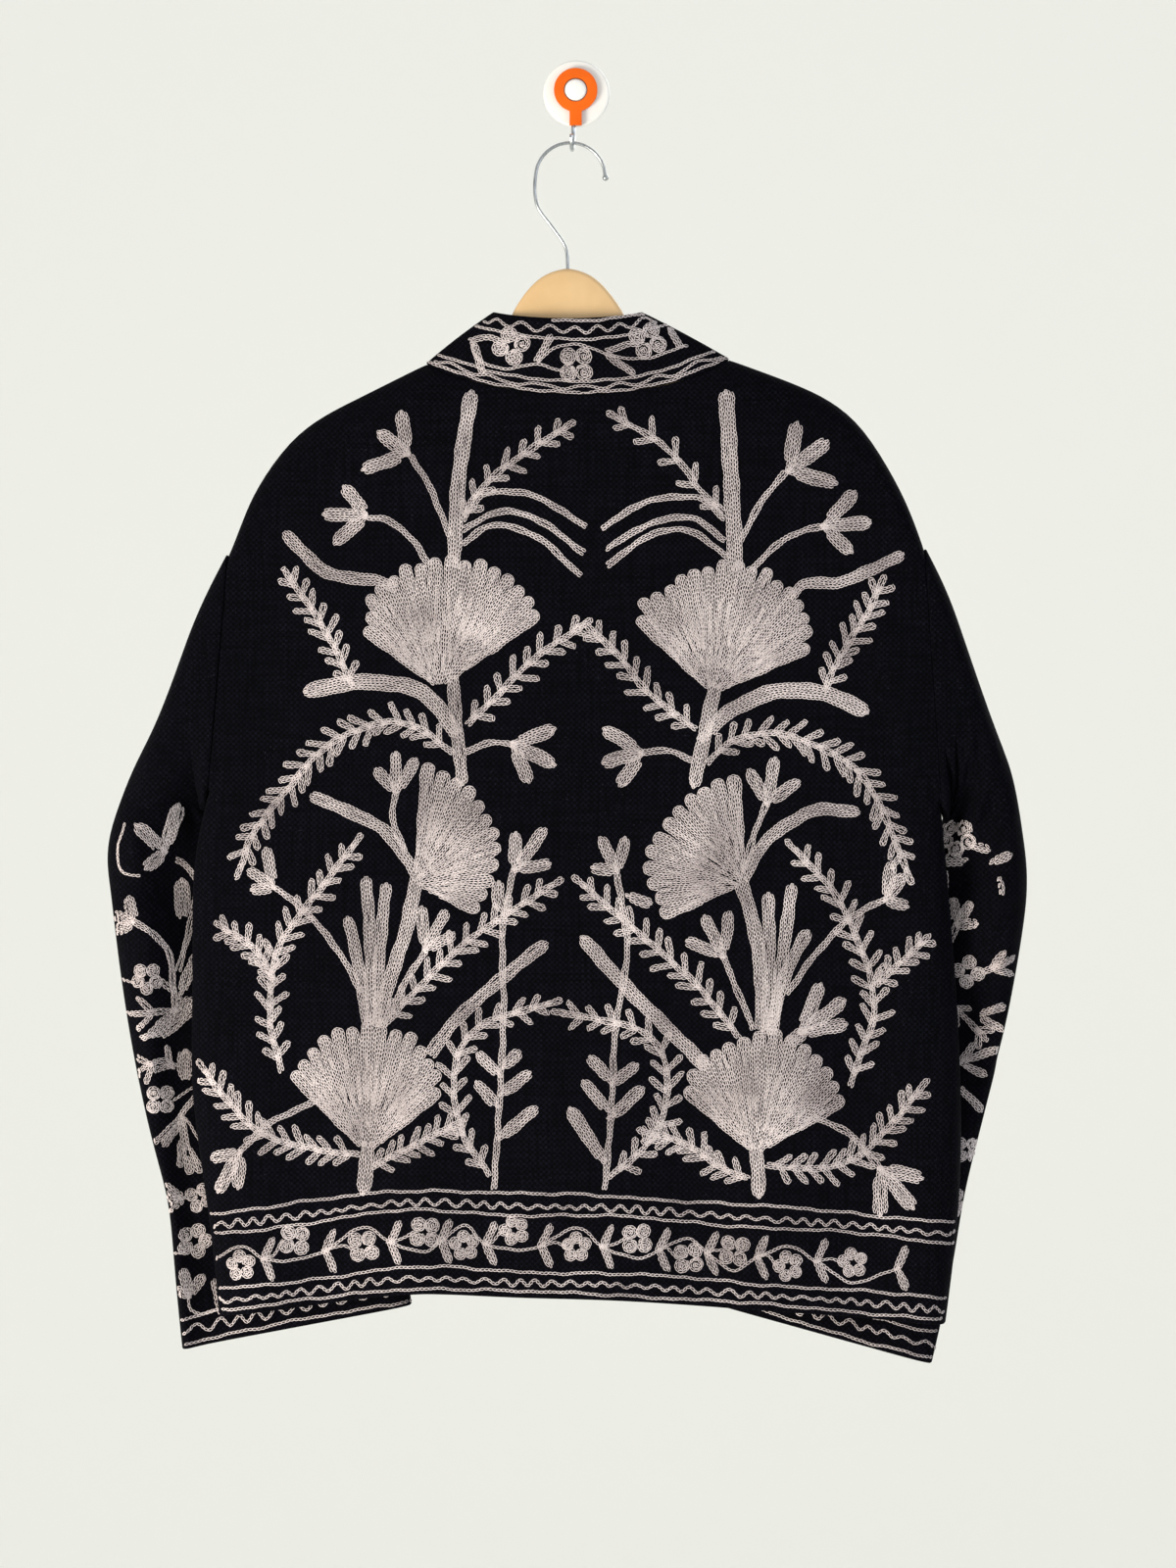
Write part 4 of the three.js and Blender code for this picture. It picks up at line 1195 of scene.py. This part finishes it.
def merged_copy(node: str, name: str, join_angle: float = 20.0, corner_angle: float = 60.0) -> Object:
    """Copies a CAD node as a joined mesh of mostly four-sided faces.

    Args:
        node: the node's name.
        name: name of the copy.
        join_angle: two triangles flatter than this to each other, in degrees, become one face.
        corner_angle: how far that face's corners may be from square, in degrees.

    Returns:
        The copy, in the scene.
    """
    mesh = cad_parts[node].data.copy()
    mesh.materials.clear()
    work = bmesh.new()
    work.from_mesh(mesh)
    bmesh.ops.remove_doubles(work, verts=work.verts, dist=1e-6)
    bmesh.ops.join_triangles(
        work, faces=work.faces, angle_face_threshold=math.radians(join_angle),
        angle_shape_threshold=math.radians(corner_angle),
    )
    work.to_mesh(mesh)
    work.free()
    return add_object(name, mesh)


def smoothed(obj: Object, levels: int) -> Mesh:
    """Bakes an object, subdivided where levels is above zero.

    Args:
        obj: a mesh object.
        levels: how many times it is subdivided.

    Returns:
        Its new mesh.
    """
    if levels:
        smoother = obj.modifiers.new("smoother", "SUBSURF")
        smoother.levels = smoother.render_levels = levels
    return bake(obj)


def dress(obj: Object, node: str, finish: Material) -> None:
    """Shades a finished piece, gives it its material and puts it in its CAD node's place.

    Args:
        obj: the piece.
        node: the CAD node that it stands for.
        finish: its material.
    """
    obj.data.polygons.foreach_set("use_smooth", [True] * len(obj.data.polygons))
    obj.data.materials.append(finish)
    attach(obj, "root")
    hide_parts(node)
    log.info("%s: %d faces", obj.name, len(obj.data.polygons))


# ---------------------------------------------------------------- cloth
@dataclass(frozen=True)
class Crease:
    """A soft ridge of the cloth, or a trough where its rise is below zero."""

    start: Point  # on the chart
    end: Point
    half: float  # half its width, in squares
    rise: float  # towards the viewer, in mm
    bow: float = 0.05  # it curves aside by this share of its length
    sweep: float = 5.0  # and back, over this many radians of a wave
    girth: Point = (0.75, 0.4)  # share of its width at the ends, and what its middle adds
    swell: Point = (0.25, 0.75)  # the same of its rise

    def lift(self, chart: np.ndarray) -> np.ndarray:
        """Works out how far it moves the cloth.

        Args:
            chart: chart points of the cloth.

        Returns:
            Metres towards the viewer, one for each point.
        """
        a, b = np.array(self.start), np.array(self.end)
        run = b - a
        share = np.clip((chart - a) @ run / (run @ run), 0.0, 1.0)
        aside = left_of(run) * self.bow * np.sin(share * self.sweep)[:, None]
        away = np.hypot(*(chart - (a + run * share[:, None] + aside)).T)
        arch = np.sin(math.pi * share)
        width = self.half * (self.girth[0] + self.girth[1] * arch)
        return self.rise * MM * np.exp(-((away / width) ** 2)) * (self.swell[0] + self.swell[1] * arch)


BACK_CREASES = (
    Crease((868, 585), (915, 812), 15, -1.6), Crease((892, 600), (934, 830), 12, 1.2),
    Crease((300, 610), (262, 820), 16, -1.3), Crease((330, 480), (300, 640), 18, 0.9),
    Crease((610, 470), (596, 760), 30, -0.9), Crease((560, 1000), (575, 1290), 24, 0.8),
    Crease((700, 1010), (690, 1300), 20, -0.9), Crease((345, 1000), (350, 1300), 22, 0.9),
    Crease((905, 980), (925, 1320), 16, -1.4),
)
FRONT_CREASES = (
    Crease((330, 560), (300, 880), 20, 1.2), Crease((470, 640), (455, 1010), 26, -1.4),
    Crease((720, 620), (735, 980), 24, 1.3), Crease((850, 580), (880, 860), 18, -1.2),
    Crease((400, 1010), (410, 1290), 20, 1.0), Crease((790, 1040), (800, 1300), 22, -1.1),
)
LEFT_SLEEVE_CREASES = (
    Crease((128, 800), (206, 790), 9, 1.4), Crease((120, 905), (200, 912), 10, -1.6),
    Crease((150, 700), (120, 780), 12, -1.2), Crease((150, 980), (185, 1180), 14, 1.0),
    Crease((180, 1180), (210, 1330), 12, -0.8), Crease((300, 1060), (330, 1300), 22, -1.2),
)
LEFT_SLEEVE_WALL_CREASES = (
    Crease((140, 820), (330, 800), 14, 1.6), Crease((130, 890), (300, 940), 12, -1.4),
    Crease((200, 980), (260, 1260), 20, 1.2), Crease((310, 960), (360, 1250), 18, -1.0),
)
RIGHT_SLEEVE_CREASES = (
    Crease((962, 790), (1040, 786), 9, 1.4), Crease((1001, 796), (1043, 860), 8, -1.6),
    Crease((1000, 880), (1046, 925), 12, 1.6), Crease((985, 950), (1030, 1010), 9, -1.2),
    Crease((1010, 1000), (985, 1180), 12, 0.9), Crease((850, 1060), (830, 1300), 22, -1.2),
)
RIGHT_SLEEVE_WALL_CREASES = (
    Crease((1030, 830), (830, 800), 14, 1.6), Crease((1035, 900), (870, 960), 12, -1.5),
    Crease((960, 980), (900, 1260), 20, 1.2), Crease((860, 960), (800, 1240), 18, -1.0),
)


@dataclass
class ClothPiece:
    """One sewn piece of the jacket, dressed from its CAD wall."""

    node: str
    flat: tuple[float, float]  # its cut, opened out
    area: float
    hangs_from: tuple[str, ...]
    creases: tuple[Crease, ...] = ()  # seen from the room
    wall_creases: tuple[Crease, ...] = ()  # seen from the wall, on a tube
    is_tube: bool = False
    levels: int = 2
    cut_angle: float = 50.0  # an edge of the wall that turns more than this is a cut edge
    cut_hold: float = 0.85  # how firmly smoothing keeps it
    ripple: float = 0.35 * MM
    ripple_scale: Place = (14.0, 3.1, 9.0)  # a ripple is 71 mm wide and 111 mm high; y picks the pattern
    seam_close: float = 0.22 * MM  # the wall swells this much, so that sewn pieces meet
    hollow: float = 3 * MM  # least depth at which a tube's two sides are told apart
    obj: Object = field(init=False)
    stitches: list[Object] = field(init=False, default_factory=list)

    def build(self, cloth: Material) -> None:
        """Smooths the wall, lays its creases and dresses it.

        Args:
            cloth: the woven finish.
        """
        self.obj = merged_copy(self.node, self.node + "_cloth")
        self.sharpen_edges()
        self.lay_creases(smoothed(self.obj, self.levels))
        dress(self.obj, self.node, cloth)

    def sharpen_edges(self) -> None:
        """Marks the cut edges of the wall, so that smoothing keeps its thickness."""
        work = bmesh.new()
        work.from_mesh(self.obj.data)
        mark = work.edges.layers.float.new("crease_edge")
        limit = math.radians(self.cut_angle)
        for edge in work.edges:
            if len(edge.link_faces) == 2 and edge.calc_face_angle() > limit:
                edge[mark] = self.cut_hold
        work.to_mesh(self.obj.data)
        work.free()

    def lay_creases(self, mesh: Mesh) -> None:
        """Moves both faces of the wall together, so that it creases and keeps its thickness.

        Args:
            mesh: the smoothed wall.
        """
        count = len(mesh.vertices)
        place, outwards = np.empty(count * 3), np.empty(count * 3)
        mesh.vertices.foreach_get("co", place)
        place = place.reshape(-1, 3)
        chart = paired(place[:, 0] / CHART_STEP + CHART_ZERO[0], CHART_ZERO[1] - place[:, 2] / CHART_STEP)
        room = sum((crease.lift(chart) for crease in self.creases), np.zeros(count))
        wall = sum((crease.lift(chart) for crease in self.wall_creases), np.zeros(count))
        across, pattern, down = self.ripple_scale
        ripple = np.array([noise.noise((x * across, pattern, z * down)) for x, z in place[:, (0, 2)]])
        ripple *= self.ripple
        if self.is_tube:
            towards_room = self.room_share(mesh, place)
            place[:, 1] += -(room + ripple) * towards_room + (wall + ripple) * (1 - towards_room)
        else:
            place[:, 1] -= room + ripple
        mesh.vertices.foreach_get("normal", outwards)
        place += outwards.reshape(-1, 3) * self.seam_close
        mesh.vertices.foreach_set("co", place.ravel())
        mesh.update()

    def room_share(self, mesh: Mesh, place: np.ndarray) -> np.ndarray:
        """Tells a tube's two sides apart.

        Args:
            mesh: the tube.
            place: its points.

        Returns:
            One on the side turned to the room, zero on the one turned to the wall.
        """
        tree = BVHTree.FromPolygons([tuple(p) for p in place], [tuple(p.vertices) for p in mesh.polygons])
        share = np.full(len(place), 0.5)
        for number, (x, y, z) in enumerate(place):
            near, far = (
                tree.ray_cast(Vector((x, side.value * RAY_START_Y, z)), Vector((0, -side.value, 0)))[0]
                for side in (Facing.ROOM, Facing.WALL)
            )
            if near is not None and far is not None and far.y - near.y > self.hollow:
                share[number] = smooth_step(-0.5, 0.5, ((near.y + far.y) / 2 - y) / ((far.y - near.y) / 2))
        return share

    def declare(self) -> None:
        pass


@dataclass
class Jacket:
    """The jacket: six sewn pieces of cloth and their embroidery."""

    pieces: dict[str, ClothPiece] = field(init=False)
    hem_span: Point = (213.0, 975.0)  # u of both ends of the hem's rows
    hem_lines: tuple[float, ...] = (106.0, 85.0, 27.0, 6.0)  # rise of each plain chain above the edge
    hem_waves: Point = (93.5, 15.5)  # and of each wave
    vine_end: float = 968.0
    cuff_rises: Place = (6.0, 19.0, 32.0)  # of a cuff's lower chain, wave and upper chain
    cuff_wave: Point = (21.0, 4.2)  # its length and height
    cuff_overrun: float = 6.0  # squares by which a cuff's rows go over its side edges
    band_steps: int = 160  # points on each chain of the collar's bands
    band_wave: Place = (0.28, 0.8, 0.06)  # radians a step, how far they drift, and the drift's own radians
    collar_edge: Point = (0.4, 1.8)  # the short row under the collar's top: its start, and how low it lies

    def __post_init__(self) -> None:
        """Lists the pieces, with the cut and the creases of each."""
        listed = [
            ClothPiece("back", (0.545, 0.66), 0.3175, ("hanger",), BACK_CREASES),
            ClothPiece("left_front", (0.28, 0.65), 0.154, ("hanger",), FRONT_CREASES),
            ClothPiece("right_front", (0.28, 0.66), 0.154, ("hanger",), FRONT_CREASES),
            ClothPiece(
                "left_sleeve", (0.33, 0.56), 0.1355, ("back", "left_front"), LEFT_SLEEVE_CREASES,
                LEFT_SLEEVE_WALL_CREASES, True,
            ),
            ClothPiece(
                "right_sleeve", (0.33, 0.56), 0.134, ("back", "right_front"), RIGHT_SLEEVE_CREASES,
                RIGHT_SLEEVE_WALL_CREASES, True,
            ),
            ClothPiece("collar", (0.4, 0.06), 0.020, ("back",), ripple=0.1 * MM, seam_close=0.55 * MM),
        ]
        self.pieces = {piece.node: piece for piece in listed}

    def build(self) -> None:
        """Builds the cloth and stitches it."""
        cloth = WovenCotton().make()
        for piece in self.pieces.values():
            piece.build(cloth)
        self.embroider(ChainStitcher(EmbroideryYarn().make()))
        for piece in self.pieces.values():
            piece.declare()

    def embroider(self, stitcher: ChainStitcher) -> None:
        """Stitches the motifs and the borders.

        Args:
            stitcher: sets the chains.
        """
        room, wall = Facing.ROOM, Facing.WALL
        hem, left_cuff, right_cuff = self.hem_rows(), self.cuff_rows(CUFF_LEFT), self.cuff_rows(CUFF_RIGHT)
        front_collar = self.collar_bands(FRONT_COLLAR_TOP, FRONT_COLLAR_SEAM)
        work = [
            ("back_flowers_upper_left", "back", chains_of(BACK_UPPER_LEFT), room, 11),
            ("back_flowers_lower_left", "back", chains_of(BACK_LOWER_LEFT), room, 15),
            ("back_flowers_upper_right", "back", chains_of(BACK_UPPER_RIGHT), room, 12),
            ("back_flowers_lower_right", "back", chains_of(BACK_LOWER_RIGHT), room, 16),
            ("left_sleeve_flowers", "left_sleeve", chains_of(LEFT_SLEEVE), room, 13),
            ("right_sleeve_flowers", "right_sleeve", chains_of(RIGHT_SLEEVE), room, 14),
            ("back_hem_border", "back", hem, room, 21),
            ("left_front_hem_border", "left_front", hem, wall, 22),
            ("right_front_hem_border", "right_front", hem, wall, 23),
            ("left_cuff_border", "left_sleeve", left_cuff, room, 24),
            ("left_cuff_border_wall", "left_sleeve", left_cuff, wall, 25),
            ("right_cuff_border", "right_sleeve", right_cuff, room, 26),
            ("right_cuff_border_wall", "right_sleeve", right_cuff, wall, 27),
            ("collar_border", "collar", self.collar_rows(), room, 28),
            ("collar_border_wall", "collar", front_collar, wall, 29),
        ]
        for name, node, rows, facing, seed in work:
            piece = self.pieces[node]
            piece.stitches.append(stitcher.stitch(name, rows, piece.obj, facing, seed))

    def hem_rows(self) -> Rows:
        """Lays out the hem border: two bands of chains and waves, and a vine between them.

        Returns:
            The rows, in chart squares.
        """
        border = Border(smooth_path(HEM_EDGE, 4.0))
        for rise in self.hem_lines:
            border.line(*self.hem_span, rise)
        for rise in self.hem_waves:
            border.wave(*self.hem_span, rise)
        border.vine(HEM_FLOWERS, self.hem_span[0], self.vine_end)
        return border.rows

    def cuff_rows(self, cuff: tuple[Point, Point]) -> Rows:
        """Lays out a cuff border: a wave between two chains.

        Args:
            cuff: outer and inner corner of the cuff's edge.

        Returns:
            The rows, in chart squares.
        """
        edge = np.array(sorted(cuff))
        border = Border(edge, wave_length=self.cuff_wave[0], wave_height=self.cuff_wave[1])
        low, high = edge[0, 0] - self.cuff_overrun, edge[1, 0] + self.cuff_overrun
        for lay, rise in zip((border.line, border.wave, border.line), self.cuff_rises):
            lay(low, high, rise)
        return border.rows

    def collar_bands(self, top: tuple[Point, ...], seam: tuple[Point, ...]) -> Rows:
        """Lays the chains and waves along both edges of the collar.

        Args:
            top: its upper edge, on the chart.
            seam: its lower edge.

        Returns:
            The rows, in chart squares.
        """
        place = np.linspace(0.0, 1.0, self.band_steps)
        upper, lower = (
            paired(*(np.interp(place * (len(p) - 1), np.arange(len(p)), p[:, k]) for k in (0, 1)))
            for p in (smooth_path(top, 1.0), smooth_path(seam, 1.0))
        )
        step = np.arange(len(place))
        pace, drift, drift_pace = self.band_wave
        laid = []
        for share, wave, phase in COLLAR_BANDS:
            row = upper * (1 - share) + lower * share
            row[:, 1] += wave * np.sin(step * pace + drift * np.sin(step * drift_pace) + phase)
            laid.append(row)
        return laid

    def collar_rows(self) -> Rows:
        """Lays out the collar: waves and chains along both edges, and a vine with flowers between them.

        Returns:
            The rows, in chart squares.
        """
        top = smooth_path(COLLAR_TOP, 1.0)
        begin, lower = self.collar_edge
        short_row = top[int(begin * len(top)) :] + (0.0, lower)
        return [*self.collar_bands(COLLAR_TOP, COLLAR_SEAM), short_row, *chains_of(COLLAR_VINE)]


# ---------------------------------------------------------------- hanger and wall hook
@dataclass
class Hardware:
    """The shaped hanger, its wire hook, and the parts of the wall hook."""

    edge_angle: float = 35.0  # a sharper edge than this is shaded as an edge
    round_angle: float = 40.0  # and a sharper one than this is rounded, where a part is
    round_steps: int = 3
    flat_angle: float = 0.5
    many_sides: int = 12  # a face with more corners is one of the large flat ones

    def build(self) -> None:
        """Dresses each part."""
        steel = DrawnSteel().make()
        beige = MouldedPlastic("satin_moulded_beige", "#c9a97b", "#c09f70", 0.4).make()
        white = MouldedPlastic("glossy_white_abs", "#dcdcd8", "#d4d4cf", 0.2, 0.3).make()
        orange = MouldedPlastic("glossy_orange_abs", "#d85e08", "#cc5506", 0.3, 0.0, 0.2).make()
        self.part("hanger", beige, levels=2, flat_sides=True)
        self.part("hanger_hook", steel, levels=1)
        self.part("wall_disc", white, bevel=2.6 * MM)
        self.part("wall_ring", orange, bevel=1.6 * MM)
        self.part("wall_button", white, levels=1)
        self.part("wall_pin", steel)

    def part(
        self, node: str, finish: Material, bevel: float = 0.0, levels: int = 0,
        flat_sides: bool = False,
    ) -> None:
        """Dresses one hard part.

        Args:
            node: its CAD node.
            finish: its material.
            bevel: width of the rounding on its sharp edges, or zero.
            levels: how many times it is smoothed.
            flat_sides: whether its large flat faces stay flat while their outline is smoothed.
        """
        obj = merged_copy(node, node + "_part", 1.0)
        if flat_sides:
            self.keep_flat(obj.data)
        if bevel:
            rounding = obj.modifiers.new("rounding", "BEVEL")
            rounding.width = bevel
            rounding.segments = self.round_steps
            rounding.limit_method = "ANGLE"
            rounding.angle_limit = math.radians(self.round_angle)
        smoothed(obj, levels).set_sharp_from_angle(angle=math.radians(self.edge_angle))
        dress(obj, node, finish)

    def keep_flat(self, mesh: Mesh) -> None:
        """Joins the large flat faces and holds their outlines, which then smooth to curves.

        Args:
            mesh: the joined copy of a CAD node.
        """
        work = bmesh.new()
        work.from_mesh(mesh)
        bmesh.ops.dissolve_limit(
            work, angle_limit=math.radians(self.flat_angle), verts=work.verts, edges=work.edges
        )
        mark = work.edges.layers.float.new("crease_edge")
        for face in work.faces:
            if len(face.verts) > self.many_sides:
                for edge in face.edges:
                    edge[mark] = 1.0
        work.to_mesh(mesh)
        work.free()


# ---------------------------------------------------------------- stage
@dataclass(frozen=True)
class StudioLight:
    """One soft square area light that is turned to the jacket."""

    name: str
    place: Place
    size: float
    watts: float
    colour: str

    def build(self, aim: Place) -> None:
        """Sets it up.

        Args:
            aim: the place it is turned to.
        """
        data = bpy.data.lights.new(self.name, "AREA")
        data.size = self.size
        data.energy = self.watts
        data.color = hex_colour(self.colour)[:3]
        lamp = add_object(self.name, data)
        lamp.location = self.place
        lamp.rotation_euler = (Vector(aim) - Vector(self.place)).to_track_quat("-Z", "Y").to_euler()


@dataclass(frozen=True)
class Stage:
    """Pale floor, soft studio light and the camera, straight on to the jacket's back."""

    aim: Point = (600.0, 800.0)  # middle of the view, on the chart
    cloth_y: float = -0.05
    cloth_middle_z: float = -0.45
    distance: float = 3.2
    view_height: float = 1600 * CHART_STEP
    sensor: float = 36.0  # side in mm
    floor_z: float = -2.1
    backdrop_y: float = 5.2
    reach: float = 60.0  # of the floor, and of the backdrop to both sides
    backdrop_top: float = 30.0
    lights: tuple[StudioLight, ...] = (
        StudioLight("key", (-1.8, -1.6, -1.2), 1.1, 80.0, "#fff6ea"),
        StudioLight("fill", (2.4, -1.8, -0.2), 2.0, 20.0, "#e0eaff"),
        StudioLight("rim", (1.4, 1.9, 1.0), 1.6, 26.0, "#ffffff"),
    )

    def build(self) -> None:
        """Sets up the camera, the floor, the lights and the world."""
        self.set_camera()
        paint = MattPaint("#f2f3ef").make()
        far, low, wall, top = self.reach, self.floor_z, self.backdrop_y, self.backdrop_top
        foot = [(-far, wall, low), (far, wall, low)]
        self.plane("floor", [(-far, -far, low), (far, -far, low), *reversed(foot)], paint)
        self.plane("backdrop", [*foot, (far, wall, top), (-far, wall, top)], paint)
        for light in self.lights:
            light.build((0.0, self.cloth_y, self.cloth_middle_z))
        world = bpy.data.worlds.new("pale_room")
        world.use_nodes = True
        tree = world.node_tree
        tree.nodes.clear()
        air = add_node(tree, "ShaderNodeBackground", {"Color": hex_colour("#f7f7f6"), "Strength": 0.9})
        add_node(tree, "ShaderNodeOutputWorld", {"Surface": air})
        bpy.context.scene.world = world
        bpy.context.scene.view_settings.view_transform = "Standard"

    def set_camera(self) -> None:
        """Sets the camera straight on to the wall."""
        x, z = on_chart(np.array([self.aim]))[0]
        data = bpy.data.cameras.new("camera")
        data.sensor_width = data.sensor_height = self.sensor
        data.lens = self.sensor * self.distance / self.view_height
        camera = add_object("camera", data)
        camera.location = (x, self.cloth_y - self.distance, z)
        camera.rotation_euler = (math.pi / 2, 0.0, 0.0)
        bpy.context.scene.camera = camera

    def plane(self, name: str, corners: list[Place], paint: Material) -> None:
        """Adds one flat painted face of the stage.

        Args:
            name: name of the face.
            corners: its four corners.
            paint: its finish.
        """
        mesh = bpy.data.meshes.new(name)
        mesh.from_pydata(corners, [], [(0, 1, 2, 3)])
        mesh.materials.append(paint)
        add_object(name, mesh)


def main() -> None:
    """Builds the stage, the hanger with its hook, and the jacket."""
    Stage().build()
    Hardware().build()
    Jacket().build()


if __name__ == "__main__":
    main()
